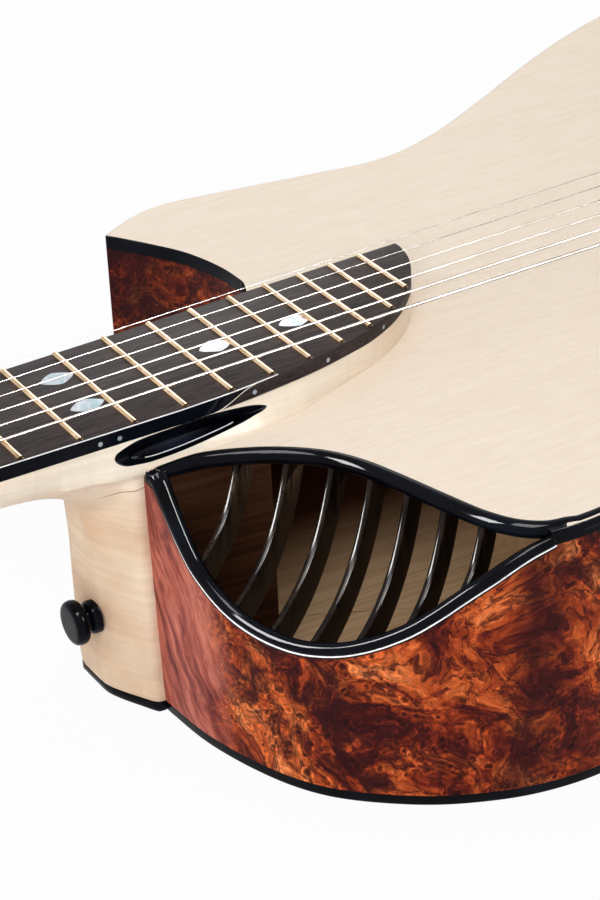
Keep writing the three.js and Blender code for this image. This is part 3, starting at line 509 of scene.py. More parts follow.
@dataclass(frozen=True)
class StraightWood:
    """Wood with close straight grain along the strings, faint silk across it, a lacquer, and
    painted shade deeper in the box where a deep colour is given.
    """

    name: str
    pale: Colour
    dark: Colour
    ring_mm: float
    contrast: float
    coat: float
    roughness: float
    # colour of the painted shade further into the box, or None for no painted shade
    deep: Colour | None = None

    def material(self) -> bpy.types.Material:
        """Returns the material."""
        board = Board(self.name, self.roughness)
        drift = board.warp(board.place(), 6, 0.004)
        across = 1000 / self.ring_mm
        lines = board.noise(board.stretch(drift, (2.5, across, across)), 1, 1)
        fibre = board.noise(board.stretch(drift, (60, 2600, 2600)), 1, 1)
        silk = board.noise(board.stretch(drift, (330, 28, 28)), 1, 2, 0.6)
        broad = board.noise(board.stretch(drift, (3, 30, 30)), 1, 2)
        tone = board.ramp(lines, [(0.34, self.dark), (0.62, self.pale)])
        flat = board.mix(1 - self.contrast, tone, linear(*self.pale))
        fine = board.ramp(fibre, [(0.3, 0.985), (0.7, 1.0)])
        silky = board.ramp(silk, [(0.35, 0.988), (0.65, 1.0)])
        wide = board.ramp(broad, [(0.3, 0.982), (0.7, 1.0)])
        shade = board.times(board.times(fine, silky), wide)
        wood = board.times(flat, shade)
        # Painted shade: from object Y 0 to 50 mm the wood darkens to the deep colour, standing in
        # for the shade inside the box.
        if self.deep:
            inwards = board.span(board.axis(drift, 1), 0.0, 0.05)
            painted_shade = board.times(linear(*self.deep), shade)
            wood = board.mix(inwards, wood, painted_shade)
        board.colour(wood)
        board.lacquer(self.coat, 0.3, 0.02)
        board.bump(fibre, 0.01, 0.2)
        return board.material


@dataclass(frozen=True)
class BurlWood:
    """Lacquered burl: swirling fibre, clusters of eyes, dark veins, and grain streaks by the neck
    paled by a painted reflection.
    """

    name: str = "burl_lacquered"
    dark: Colour = (46, 12, 16)
    brown: Colour = (104, 32, 20)
    rust: Colour = (166, 66, 30)
    orange: Colour = (214, 104, 50)
    pale: Colour = (236, 140, 84)
    # The streaks by the neck are grain; their pale pink end is a painted reflection of a soft box.
    streak_dark: Colour = (104, 44, 46)
    streak_sheen: Colour = (206, 122, 104)

    def clusters(self, board: Board, swirl: Socket,
                 wood: Socket) -> Socket:
        """Lays clusters of small eyes and a few dark knots over the wood.

        Args:
            board: the node board.
            swirl: the curled coordinates.
            wood: the colour so far.

        Returns:
            The colour with its eyes.
        """
        near = board.warp(board.warp(board.place(), 40, 0.006, 2), 240, 0.0022, 3)
        eyes = board.node("ShaderNodeTexVoronoi", {"Vector": near, "Scale": 270.0},
                          feature="SMOOTH_F1")
        crowd = board.noise(swirl, 24, 2)
        where = board.ramp(crowd, [(0.46, 0.0), (0.5, 1.0)])
        ring = board.ramp(eyes.outputs["Distance"],
                          [(0.12, 0.2), (0.22, 0.65), (0.33, 1.5), (0.45, 0.6), (0.6, 1.1)])
        dotted = board.mix(where, wood, board.times(wood, ring))
        knots = board.node("ShaderNodeTexVoronoi", {"Vector": swirl, "Scale": 62.0},
                           feature="F1")
        knot = board.ramp(knots.outputs["Distance"],
                          [(0.06, 0.16), (0.13, 0.5), (0.2, 1.15), (0.3, 0.8), (0.42, 1.0)])
        return board.times(dotted, knot, 0.85)

    def figure(self, board: Board) -> Socket:
        """Returns the colour of the burl away from the neck.

        Args:
            board: the node board.

        Returns:
            The colour.
        """
        broad = board.warp(board.place(), 14, 0.07, 2)
        swirl = board.warp(broad, 52, 0.026, 3)
        curl = board.warp(swirl, 170, 0.0075, 3)
        cloud = board.noise(curl, 40, 8, 0.2, 0.66)
        base = board.ramp(cloud, [(0.35, self.dark), (0.44, self.brown), (0.5, self.rust),
                                  (0.57, self.orange), (0.68, self.pale)])
        fibre = board.noise(board.stretch(swirl, (900, 900, 85)), 1, 5, 0.0, 0.62)
        lines = board.ramp(fibre, [(0.3, 0.4), (0.46, 0.85), (0.58, 1.12), (0.74, 1.4)])
        figured = board.times(base, lines, 0.9)
        grains = board.noise(curl, 620, 5, 0.0, 0.7)
        mottle = board.ramp(grains, [(0.34, 0.55), (0.5, 0.95), (0.66, 1.15)])
        wood = self.clusters(board, swirl, board.times(figured, mottle, 0.85))
        murky = board.times(linear(*self.dark), lines, 0.95)
        vein = board.noise(swirl, 24, 6, 0.6, 0.62)
        wood = board.mix(board.ramp(vein, [(0.54, 0.0), (0.62, 0.85)]), wood, murky)
        crack = board.noise(curl, 74, 5, 0.4, 0.6)
        thin = board.ramp(crack, [(0.455, 0.0), (0.49, 0.8), (0.51, 0.8), (0.545, 0.0)])
        wood = board.mix(thin, wood, murky)
        bent = board.warp(board.warp(board.place(), 22, 0.018, 2), 90, 0.006, 3)
        band = board.span(board.axis(bent, 0), 0.056, 0.096)
        wave = board.ramp(band, [(0.18, 0.0), (0.38, 0.8), (0.5, 0.66), (0.66, 0.4), (0.85, 0.0)])
        return board.mix(wave, wood, murky)

    def neck_streaks_and_sheen(self, board: Board) -> Socket:
        """Returns the colour of the slanting grain streaks beside the heel, paled to pink as a
        painted reflection in the lacquer.

        Args:
            board: the node board.

        Returns:
            The colour.
        """
        drift = board.warp(board.place(), 34, 0.016, 3)
        slant = board.turned((27, 0, 0), (170, 260, 22), drift)
        # Dark stops are grain; the pale pink stops paint the lacquer's reflection of a soft box.
        streak = board.ramp(board.noise(slant, 1, 5, 0.3, 0.58),
                            [(0.34, self.streak_dark), (0.5, (172, 88, 74)),
                             (0.64, self.streak_sheen)])
        fine = board.noise(board.turned((27, 0, 0), (1000, 1500, 90), drift), 1, 4, 0, 0.6)
        return board.times(streak, board.ramp(fine, [(0.34, 0.62), (0.62, 1.15)]), 0.8)

    def material(self) -> bpy.types.Material:
        """Returns the material."""
        board = Board(self.name, 0.34)
        wobble = board.warp(board.place(), 60, 0.014, 2)
        across = board.axis(wobble, 1)
        # Near the heel, object Y about -72 to -20 mm, the figure gives way to the streaks with
        # their painted reflection.
        place = board.sum("MULTIPLY", board.span(across, -0.072, -0.06),
                          board.span(across, -0.02, -0.03))
        board.colour(board.mix(place, self.figure(board), self.neck_streaks_and_sheen(board)))
        board.lacquer(0.05, 0.06, 0.04)
        return board.material


@dataclass(frozen=True)
class FlamedMaple:
    """Pale lacquered maple with faint flame across the grain and the glue line of the heel,
    painted paler near the board as sheen and darker down the heel as shade.
    """

    place: Matrix
    name: str = "maple_lacquered_painted_sheen_and_shade"
    # pale is painted sheen near the board, deep is painted shade down the heel, tan lies between
    pale: Colour = (253, 241, 224)
    tan: Colour = (247, 228, 203)
    deep: Colour = (222, 186, 154)
    line: Colour = (150, 104, 74)
    line_drop: float = 22.0
    line_slope: float = 0.2
    line_start: float = 309.0
    line_half: float = 0.13

    def glue_line(self, board: Board, wood: Socket) -> Socket:
        """Draws the thin joint line between the neck and its heel.

        Args:
            board: the node board.
            wood: the colour of the wood.

        Returns:
            The colour with the line.
        """
        turn, shift = self.place.to_3x3(), self.place.translation * MM
        along, up = turn @ Vector((1, 0, 0)), turn @ Vector((0, 0, 1))
        normal = up - along * self.line_slope
        lift = (self.line_drop + self.line_slope * JOIN_X) * MM - normal.dot(shift)
        off = board.node("ShaderNodeMath", {0: board.plane(normal, lift)}, operation="ABSOLUTE")
        thin = board.node("ShaderNodeMapRange", {
            "Value": off.outputs[0], "From Min": self.line_half * 1.6 * MM,
            "From Max": self.line_half * 0.6 * MM}).outputs[0]
        place = board.plane(along, -along.dot(shift))
        ends = board.sum("MULTIPLY", board.span(place, self.line_start * MM,
                                                (self.line_start + 4) * MM),
                         board.span(place, (JOIN_X + 0.6) * MM, JOIN_X * MM))
        return board.mix(board.sum("MULTIPLY", thin, ends), wood, linear(*self.line))

    def material(self) -> bpy.types.Material:
        """Returns the material."""
        board = Board(self.name, 0.32)
        drift = board.warp(board.place(), 9, 0.01)
        cloud = board.noise(board.stretch(drift, (9, 40, 40)), 1, 3)
        # Painted sheen and shade: from 30 mm to 12 mm below the fretboard's playing surface the
        # wood goes from the darker low ramp to the paler high one.
        high = board.ramp(cloud, [(0.36, self.tan), (0.6, self.pale)])
        low = board.ramp(cloud, [(0.3, self.deep), (0.7, self.tan)])
        up = self.place.to_3x3() @ Vector((0, 0, 1))
        level = board.plane(up, -up.dot(self.place.translation) * MM)
        base = board.mix(board.span(level, -0.03, -0.012), low, high)
        flame = board.noise(board.stretch(drift, (26, 16, 620)), 1, 2, 0.5)
        cross = board.noise(board.stretch(drift, (260, 12, 40)), 1, 2, 0.5)
        fibre = board.noise(board.stretch(drift, (50, 1500, 1500)), 1, 2)
        bands = board.ramp(flame, [(0.38, 0.925), (0.62, 1.0)])
        ripple = board.ramp(cross, [(0.38, 0.965), (0.62, 1.0)])
        fine = board.ramp(fibre, [(0.3, 0.97), (0.7, 1.0)])
        shade = board.times(board.times(bands, ripple), fine)
        wood = board.times(base, shade)
        board.colour(self.glue_line(board, wood))
        board.lacquer(0.04, 0.06, 0.04)
        board.bump(fibre, 0.008, 0.15)
        return board.material


@dataclass(frozen=True)
class Ebony:
    """Oiled ebony with brown streaks and open pores along the strings."""

    name: str
    black: Colour
    brown: Colour
    roughness: float
    along: Spot = (22, 1400, 1400)
    level: float = 0.08
    relief: float = 0.02

    def material(self) -> bpy.types.Material:
        """Returns the material."""
        board = Board(self.name, self.roughness)
        drift = board.warp(board.place(), 20, 0.002)
        streak = board.noise(board.stretch(drift, self.along), 1, 3)
        broad = board.noise(board.stretch(drift, tuple(a / 9 for a in self.along)), 1, 2)
        tone = board.sum("ADD", board.sum("MULTIPLY", streak, 0.6),
                         board.sum("MULTIPLY", broad, 0.4))
        base = board.ramp(tone, [(0.38, self.black), (0.62, self.brown)])
        pores = board.noise(board.stretch(drift, tuple(a * 2.2 for a in self.along)), 1, 1)
        open_pores = board.ramp(pores, [(0.34, 0.35), (0.42, 1.0)])
        board.colour(board.times(base, open_pores))
        board.lacquer(0.0, 0.1, self.level)
        board.bump(open_pores, self.relief, 0.3)
        return board.material


@dataclass(frozen=True)
class GlossBlack:
    """Polished black trim with very faint blue-black clouding and buffing marks."""

    name: str = "black_polished"
    black: Colour = (5, 6, 9)
    blue: Colour = (13, 16, 25)
    roughness: float = 0.07

    def material(self) -> bpy.types.Material:
        """Returns the material."""
        board = Board(self.name, self.roughness)
        cloud = board.noise(board.place(), 60, 2)
        board.colour(board.ramp(cloud, [(0.35, self.black), (0.65, self.blue)]))
        marks = board.noise(board.place(), 2400, 1)
        board.lacquer(0.0, 0.03, 0.06)
        board.bump(marks, 0.001, 0.2)
        return board.material


@dataclass(frozen=True)
class Pearl:
    """Shell with drifting pale blue, silver and rose."""

    name: str = "pearl_shell"
    blue: Colour = (150, 182, 196)
    silver: Colour = (190, 205, 214)
    pale: Colour = (210, 214, 222)
    rose: Colour = (178, 182, 202)

    def material(self) -> bpy.types.Material:
        """Returns the material."""
        board = Board(self.name, 0.18)
        drift = board.warp(board.place(), 60, 0.02)
        cloud = board.noise(drift, 110, 3, 1.2)
        board.colour(board.ramp(cloud, [(0.34, self.blue), (0.46, self.silver), (0.56, self.pale),
                                        (0.68, self.rose)]))
        board.lacquer(0.2, 0.05, 0.4)
        board.bump(cloud, 0.01, 0.2)
        return board.material


@dataclass(frozen=True)
class Bone:
    """Cream bone with fine pores."""

    name: str = "bone_polished"
    pale: Colour = (240, 234, 216)
    dark: Colour = (222, 210, 184)

    def material(self) -> bpy.types.Material:
        """Returns the material."""
        board = Board(self.name, 0.35)
        cloud = board.noise(board.place((200, 60, 200)), 1, 3)
        pores = board.noise(board.place(), 1600, 1)
        board.colour(board.ramp(cloud, [(0.35, self.dark), (0.6, self.pale)]))
        board.bump(pores, 0.01, 0.2)
        return board.material


@dataclass(frozen=True)
class Metal:
    """Drawn or polished metal with fine lines and slight tarnish."""

    name: str
    bright: Colour
    dull: Colour
    roughness: float
    lines: Spot = (300, 300, 300)

    def material(self) -> bpy.types.Material:
        """Returns the material."""
        board = Board(self.name, self.roughness, 1.0)
        cloud = board.noise(board.place(), 90, 3)
        board.colour(board.ramp(cloud, [(0.35, self.dull), (0.6, self.bright)]))
        drawn = board.noise(board.place(self.lines), 4, 2)
        rough = board.ramp(drawn, [(0.3, self.roughness * 0.8), (0.7, self.roughness * 1.3)])
        board.tree.links.new(rough, board.shader.inputs["Roughness"])
        board.bump(drawn, 0.004, 0.2)
        return board.material


class Finishes:
    """Every finish of the guitar, made once."""

    def __init__(self, place: Matrix) -> None:
        """Makes the materials, in a guitar placed by a matrix."""
        self.spruce = StraightWood("spruce_lacquered", (249, 234, 217), (239, 218, 194), 0.95,
                                   0.45, 0.01, 0.42).material()
        # Inside wood: pale tan near the port, painted darker to (74, 42, 26) further into the box
        # as shade.
        self.inner = StraightWood("inner_bare_painted_shade", (204, 172, 134), (188, 154, 116), 1.8,
                                  0.8, 0.0, 0.7, (74, 42, 26)).material()
        self.block = StraightWood("block_bare", (62, 38, 24), (44, 26, 16), 2.4,
                                  0.9, 0.0, 0.65).material()
        self.dot = Pearl("pearl_dot", (120, 136, 148), (150, 162, 170), (168, 176, 182),
                         (130, 138, 152)).material()
        self.burl = BurlWood().material()
        self.maple = FlamedMaple(place).material()
        self.board = Ebony("ebony_board_oiled", (34, 28, 29), (64, 53, 52), 0.45).material()
        self.ribs = Ebony("ebony_ribs_polished", (10, 8, 7), (42, 31, 23), 0.13,
                          (300, 300, 36), 0.1, 0.001).material()
        self.ebony = Ebony("ebony_satin", (18, 16, 16), (44, 37, 33), 0.34).material()
        self.trim = GlossBlack().material()
        self.pearl = Pearl().material()
        self.bone = Bone().material()
        self.line = Bone("line_white", (252, 252, 252), (238, 238, 240)).material()
        self.steel = Metal("steel_bright", (205, 205, 208), (170, 172, 176), 0.28).material()
        self.gold = Metal("gold_bright", (222, 178, 104), (190, 142, 74), 0.24).material()
        self.wire = Metal("fret_wire_bright", (230, 202, 166), (190, 160, 126), 0.16).material()
        self.bronze = Metal("wound_bronze_bright", (158, 151, 145), (128, 121, 113),
                            0.3).material()
        self.plain = Metal("plain_wire_bright", (162, 158, 155), (138, 134, 131), 0.26).material()


class Workshop:
    """Places shapes of the string frame in the row frame and dresses them."""

    def __init__(self) -> None:
        """Reads where the fretboard was packed."""
        low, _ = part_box("fretboard")
        turn = math.atan(TAPER_DROP / BODY_LENGTH)
        rise = low.z / MM - BOARD_BASE * math.cos(turn)
        shift = Matrix.Translation((low.x / MM, 0, rise))
        self.place = shift @ Matrix.Rotation(-turn, 4, "Y")

    def mesh(self, name: str, shape: Shape) -> bpy.types.Object:
        """Makes an object from a shape.

        Args:
            name: the object's name.
            shape: the shape, in the string frame.

        Returns:
            The object, in metres of the row frame.
        """
        data = bpy.data.meshes.new(name)
        points = [(self.place @ p) * MM for p in shape.points]
        data.from_pydata(points, [], shape.faces)
        made = bmesh.new()
        made.from_mesh(data)
        bmesh.ops.remove_doubles(made, verts=made.verts, dist=WELD * MM)
        bmesh.ops.recalc_face_normals(made, faces=made.faces)
        made.to_mesh(data)
        made.free()
        piece = bpy.data.objects.new(name, data)
        bpy.context.scene.collection.objects.link(piece)
        return piece

    def settle(self, piece: bpy.types.Object) -> None:
        """Works the modifiers into the mesh."""
        graph = bpy.context.evaluated_depsgraph_get()
        data = bpy.data.meshes.new_from_object(piece.evaluated_get(graph))
        piece.modifiers.clear()
        piece.data = data

    def ease(self, piece: bpy.types.Object, width: float, segments: int) -> None:
        """Rounds the sharp edges of a piece.

        Args:
            piece: the piece.
            width: width of the rounding.
            segments: steps round it.
        """
        bevel = piece.modifiers.new("ease", "BEVEL")
        bevel.width = width * MM
        bevel.segments = segments
        bevel.limit_method = "ANGLE"
        bevel.angle_limit = math.radians(EASE_ANGLE)
        self.settle(piece)

    def carve(self, piece: bpy.types.Object, cutter: Shape) -> None:
        """Cuts a shape out of a piece."""
        tool = self.mesh(piece.name + "_cutter", cutter)
        cut = piece.modifiers.new("carve", "BOOLEAN")
        cut.operation = "DIFFERENCE"
        cut.solver = "EXACT"
        cut.object = tool
        self.settle(piece)
        bpy.data.objects.remove(tool)

    def dress(
        self,
        piece: bpy.types.Object,
        finish: bpy.types.Material,
        body: str = BODY,
        stands_for: Sequence[str] = (),
        sharp: float = 35.0,
    ) -> bpy.types.Object:
        """Gives a piece its finish and joins it to the frame.

        Args:
            piece: the piece, in place.
            finish: its material.
            body: the CAD body that it rides on.
            stands_for: CAD nodes that it replaces.
            sharp: faces that meet more steeply than this many degrees keep a crisp edge.

        Returns:
            The piece.
        """
        if not piece.data.materials:
            piece.data.materials.append(finish)
        piece.data.shade_smooth()
        piece.data.set_sharp_from_angle(angle=math.radians(sharp))
        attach(piece, body)
        if stands_for:
            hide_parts(*stands_for)
        log.info("%s: %d faces on %s", piece.name, len(piece.data.polygons), body)
        return piece

    def add(self, name: str, shape: Shape, finish: bpy.types.Material, slot: Slot,
            *stands_for: str, ease: tuple[float, int] | None = None, body: str = BODY,
            sharp: float = 35.0) -> bpy.types.Object:
        """Makes a piece from a shape, rounds its edges where asked, and dresses it.

        Args:
            name: the piece's name.
            shape: the shape, in the string frame.
            finish: its material.
            slot: the record's slot for it; not used.
            stands_for: CAD nodes that it replaces.
            ease: width and steps of its rounded edges.
            body: the CAD body that it rides on.
            sharp: faces that meet more steeply than this many degrees keep a crisp edge.

        Returns:
            The piece.
        """
        piece = self.mesh(name, shape)
        if ease:
            self.ease(piece, *ease)
        return self.dress(piece, finish, body, stands_for, sharp)


# Forms that several sub-assemblies share


@dataclass
class BodyForm:
    """Outline of the body and the levels of its plates."""

    upper_half: float = 137.5
    waist_half: float = 121.0
    lower_half: float = 197.75
    horn_half: float = 135.0
    horn_setback: float = 68.5
    cutaway_depth: float = 90.5
    side_wall: float = 2.5
    steps: int = 12
    upper_shares: tuple[Pair, ...] = (
        (0, 0.262), (0.0036, 0.4145), (0.0141, 0.5636), (0.0293, 0.6909), (0.0502, 0.7876),
        (0.0849, 0.8858), (0.1189, 0.9476), (0.1574, 0.989), (0.2022, 1), (0.253, 0.971))
    waist_shares: tuple[Pair, ...] = ((0.3133, 1.037), (0.3755, 1), (0.4337, 1.06))
    lower_shares: tuple[Pair, ...] = (
        (0.504, 0.735), (0.5843, 0.8434), (0.6606, 0.9293), (0.7349, 0.9848), (0.7992, 1),
        (0.8655, 0.9747), (0.9257, 0.8889), (0.9679, 0.7374), (0.99, 0.5303), (0.998, 0.2778))
    horn_shares: tuple[Pair, ...] = ((0.2285, 0.986), (0.1962, 1), (0.167, 0.976))
    horn_tip_share: float = 0.919
    cutaway_shares: tuple[Pair, ...] = (
        (0.155, 0.881), (0.4545, 0.799), (0.732, 0.713), (0.873, 0.644), (0.973, 0.566),
        (1, 0.496), (0.991, 0.437), (0.917, 0.348), (0.751, 0.259), (0.508, 0.196),
        (0.232, 0.163))
    cutaway_start_share: float = 0.148
    cutaway_turn_share: float = 0.5

    def __post_init__(self) -> None:
        """Draws the outline once."""
        self.ring, self.tail = self.outline()
        self.normals = self.inward()

    def back_z(self, x: float) -> float:
        """Returns the height of the back's outer face at X."""
        return TOP_Z - NECK_DEPTH - TAPER_DROP * (x - JOIN_X) / BODY_LENGTH

    def shares_at(self, shares: Sequence[Pair], half: float, sign: int) -> list[Pair]:
        """Returns a table of shares as places, on one side of the middle line."""
        return [(JOIN_X + along * BODY_LENGTH, sign * across * half) for along, across in shares]

    def outline(self) -> tuple[list[Vector], int]:
        """Draws the outline from the middle of the neck end, bass side first.

        Returns:
            The closed ring, and the index of its point at the tail.
        """
        bass = (self.shares_at(self.upper_shares, self.upper_half, -1)
                + self.shares_at(self.waist_shares, self.waist_half, -1)
                + self.shares_at(self.lower_shares, self.lower_half, -1))
        treble = (self.shares_at(self.lower_shares, self.lower_half, 1)[::-1]
                  + self.shares_at(self.waist_shares, self.waist_half, 1)[::-1]
                  + self.shares_at(self.horn_shares, self.horn_half, 1))
        tip = (JOIN_X + self.horn_setback, self.horn_tip_share * self.horn_half)
        scoop = [tip]
        for deep, across in self.cutaway_shares:
            start = self.horn_setback if across > self.cutaway_turn_share else 0.0
            x = JOIN_X + start + (self.cutaway_depth - start) * deep
            scoop.append((x, across * self.horn_half))
        scoop.append((JOIN_X, self.cutaway_start_share * self.horn_half))
        around = smooth_line(bass + [(TAIL_X, 0)] + treble + [tip], self.steps)
        front = [Vector((JOIN_X, 0)), Vector((JOIN_X, around[0].y / 2))]
        return front + around + smooth_line(scoop, self.steps)[1:], 2 + len(bass) * self.steps

    def inward(self) -> list[Vector]:
        """Returns the way that a side moves in by one unit at each point of the outline."""
        count = len(self.ring)
        ways = []
        for i, p in enumerate(self.ring):
            a = (p - self.ring[i - 1]).normalized()
            b = (self.ring[(i + 1) % count] - p).normalized()
            normal = Vector((-(a.y + b.y), a.x + b.x)).normalized()
            lean = max(normal.dot(Vector((-a.y, a.x))), 0.5)
            ways.append(normal / lean)
        return ways

    def inset(self, i: int, depth: float) -> Vector:
        """Returns the outline's point i moved inwards by a depth."""
        return self.ring[i % len(self.ring)] + self.normals[i % len(self.ring)] * depth

    def base_at(self, i: int, depth: float) -> float:
        """Returns the height of the back's outer face at the outline's point i moved inwards."""
        return self.back_z(self.inset(i, depth).x)

    def band(self, indices: Sequence[int], section: Callable[[int], Sequence[Pair]],
             closed: bool = False) -> Shape:
        """Sweeps a section along a stretch of the outline.

        Args:
            indices: the outline points, in order.
            section: for a point, the section's (inset, height) pairs.
            closed: whether the stretch closes on itself.

        Returns:
            The swept solid.
        """
        rings = []
        for i in indices:
            spots = [(self.inset(i, depth), z) for depth, z in section(i)]
            rings.append([Vector((p.x, p.y, z)) for p, z in spots])
        if closed:
            rings.append(rings[0])
        return skin(rings, caps=not closed)


@dataclass
class PortForm:
    """Curves of the sound port in the bass shoulder."""

    body: BodyForm
    corner_half: float = 34.0
    turn: float = 57.7
    length: float = 137.0
    upper_radius: float = 2.8
    lower_radius: float = 2.2
    lower_start_radius: float = 3.3
    lower_inset: float = 1.6
    rim_z: float = -16.2
    scoop_width_share: float = 0.27
    scoop_depth_share: float = 0.93
    lower_start_share: float = 0.022
    lower_end_share: float = 0.95
    upper_line: tuple[Pair, ...] = (
        (0.2, -34.9), (3.8, -34.7), (7.5, -34.8), (11.0, -35.0), (15.0, -35.3), (19.0, -36.0),
        (23.2, -37.5), (28.8, -40.0), (37.2, -44.8), (45.3, -51.2), (52.2, -58.9), (57.6, -69.1),
        (61.8, -82.0),
        (65.9, -97.3), (69.9, -111.8), (72.4, -118.6), (75.6, -124.6), (79.6, -129.2),
        (84.4, -132.4), (89.6, -133.7))
    lower_levels: tuple[Pair, ...] = (
        (0.022, -15.8), (0.036, -17.4), (0.059, -22.4), (0.09, -29.0), (0.122, -35.1),
        (0.163, -41.3), (0.244, -48.8), (0.33, -52.3), (0.423, -53.4), (0.49, -52.8),
        (0.556, -51.2), (0.62, -48.2), (0.684, -43.8), (0.738, -38.6), (0.796, -32.2),
        (0.845, -27.2), (0.879, -23.6), (0.912, -20.6), (0.95, -18.4))
    steps: int = 8
    path_steps: int = 110

    def __post_init__(self) -> None:
        """Sets up the port's own directions and its smooth lines."""
        angle = math.radians(self.turn)
        self.along = Vector((math.cos(angle), -math.sin(angle)))
        self.across = Vector((math.sin(angle), math.cos(angle)))
        self.corner = Vector((JOIN_X, -self.corner_half))
        plan = smooth_line([(JOIN_X + x, y) for x, y in self.upper_line], self.steps)
        self.upper_plan = plan
        self.upper_table = sorted(
            ((p - self.corner).dot(self.along), (p - self.corner).dot(self.across)) for p in plan)
        self.lower_table = smooth_line(self.lower_levels, self.steps)

    def share_of(self, p: Vector) -> float:
        """Returns how far along the port a place in plan lies, as a share of its length."""
        return (Vector((p[0], p[1])) - self.corner).dot(self.along) / self.length

    def edge_across(self, along: float, depth: float) -> float:
        """Finds the body's edge across from a station of the port.

        Args:
            along: distance along the port.
            depth: how far inside the outline the edge is taken.

        Returns:
            The distance across, in the port's own frame.
        """
        best = math.inf
        for i in range(len(self.body.ring)):
            p = self.body.inset(i, depth) - self.corner
            q = self.body.inset(i + 1, depth) - self.corner
            start, end = p.dot(self.along) - along, q.dot(self.along) - along
            if start * end <= 0 and start != end:
                best = min(best, p.lerp(q, start / (start - end)).dot(self.across))
        return best

    def spot(self, across: float, z: float, along: float) -> Vector:
        """Returns a place of the port's frame in the string frame."""
        plan = self.corner + self.across * across + self.along * along
        return Vector((plan.x, plan.y, z))

    def outward(self, p: Vector) -> Vector:
        """Returns the way out of the body, level, at a place near its outline."""
        near = min(range(len(self.body.ring)),
                   key=lambda i: (self.body.ring[i] - Vector((p.x, p.y))).length_squared)
        way = -self.body.normals[near].normalized()
        return Vector((way.x, way.y, 0))

    def lower_z(self, share: float) -> float:
        """Returns the height of the lower bead's middle."""
        return value_at(self.lower_table, share)

    def upper_across(self, share: float) -> float:
        """Returns where the upper bead's middle lies across a station."""
        return value_at(self.upper_table, share * self.length)

    def lower_across(self, share: float) -> float:
        """Returns where the lower bead's middle lies across a station."""
        return self.edge_across(share * self.length, self.lower_inset)

    def upper_path(self) -> list[Vector]:
        """Returns the middle line of the upper bead."""
        return [Vector((p.x, p.y, self.rim_z)) for p in self.upper_plan]

    def lower_path(self) -> list[Vector]:
        """Returns the middle line of the lower bead."""
        path = []
        span = self.lower_end_share - self.lower_start_share
        for i in range(self.path_steps + 1):
            swing = (1 - math.cos(math.pi * i / self.path_steps)) / 2
            share = self.lower_start_share + swing * span
            path.append(self.spot(self.lower_across(share), self.lower_z(share),
                                  share * self.length))
        return path

    def scoop(self, share: float, steps: int) -> list[Vector]:
        """Draws the hollow face that the ribs follow at a station.

        Args:
            share: the station, as a share of the port's length.
            steps: samples from the upper bead to the lower one.

        Returns:
            Points as (across, height).
        """
        top = Vector((self.upper_across(share), self.rim_z))
        low = Vector((self.lower_across(share), self.lower_z(share)))
        bend = Vector((top.x + (low.x - top.x) * self.scoop_width_share,
                       top.y + (low.y - top.y) * self.scoop_depth_share))
        curve = []
        for i in range(steps + 1):
            t = i / steps
            curve.append(top * (1 - t) ** 2 + bend * (2 * t * (1 - t)) + low * t**2)
        return curve


@dataclass
class BoardForm:
    """Plan of the fretboard and of the tongue's flare beside it."""

    nut_width: float = 44.5
    join_width: float = 57.5
    board_end: float = 460.0
    sweep_start: float = 340.0
    sweep_shares: tuple[Pair, ...] = (
        (0, 1), (0.16, 0.965), (0.3, 0.9), (0.43, 0.82), (0.553, 0.7), (0.664, 0.56),
        (0.78, 0.31), (0.878, -0.02), (0.94, -0.33), (0.982, -0.63), (1, -0.9))
    flare_widths: tuple[Pair, ...] = (
        (298, 0), (304, 0.9), (309, 2.2), (314, 3.6), (318, 4.2), (324, 4.2), (332, 4.3),
        (341, 4.6), (350, 5.0), (360, 5.6), (370, 6.0), (380, 5.2), (390, 3.6), (400, 1.8),
        (410, 0.6), (418, 0))

    def __post_init__(self) -> None:
        """Draws the swept bass edge once."""
        rows = []
        for along, across in self.sweep_shares:
            x = self.sweep_start + along * (self.board_end - self.sweep_start)
            rows.append((x, -across * self.half(x)))
        self.sweep = smooth_line(rows, 8)
        self.flare_table = smooth_line(self.flare_widths, 6)

    def half(self, x: float) -> float:
        """Returns half the board's width at X, before the sweep."""
        return (self.nut_width + (self.join_width - self.nut_width) * x / JOIN_X) / 2

    def bass_y(self, x: float) -> float:
        """Returns the place of the board's bass edge at X."""
        return -self.half(x) if x <= self.sweep_start else value_at(self.sweep, x)

    def flare(self, x: float) -> float:
        """Returns how far the tongue's foot stands out past the board at X."""
        return max(0.0, value_at(self.flare_table, x))

    def outline(self, start: float, spacing: float = 6.0) -> list[Vector]:
        """Draws the board's plan from X start to its end.

        Args:
            start: where it begins.
            spacing: distance between points along its straight edges.

        Returns:
            The closed ring, bass side first.
        """
        count = max(2, round((self.sweep_start - start) / spacing))
        bass = [start + (self.sweep_start - start) * i / count for i in range(count)]
        ring = [Vector((x, -self.half(x))) for x in bass] + list(self.sweep)
        count = round((self.board_end - start) / spacing)
        treble = [self.board_end - (self.board_end - start) * i / count for i in range(count + 1)]
        return ring + [Vector((x, self.half(x))) for x in treble]


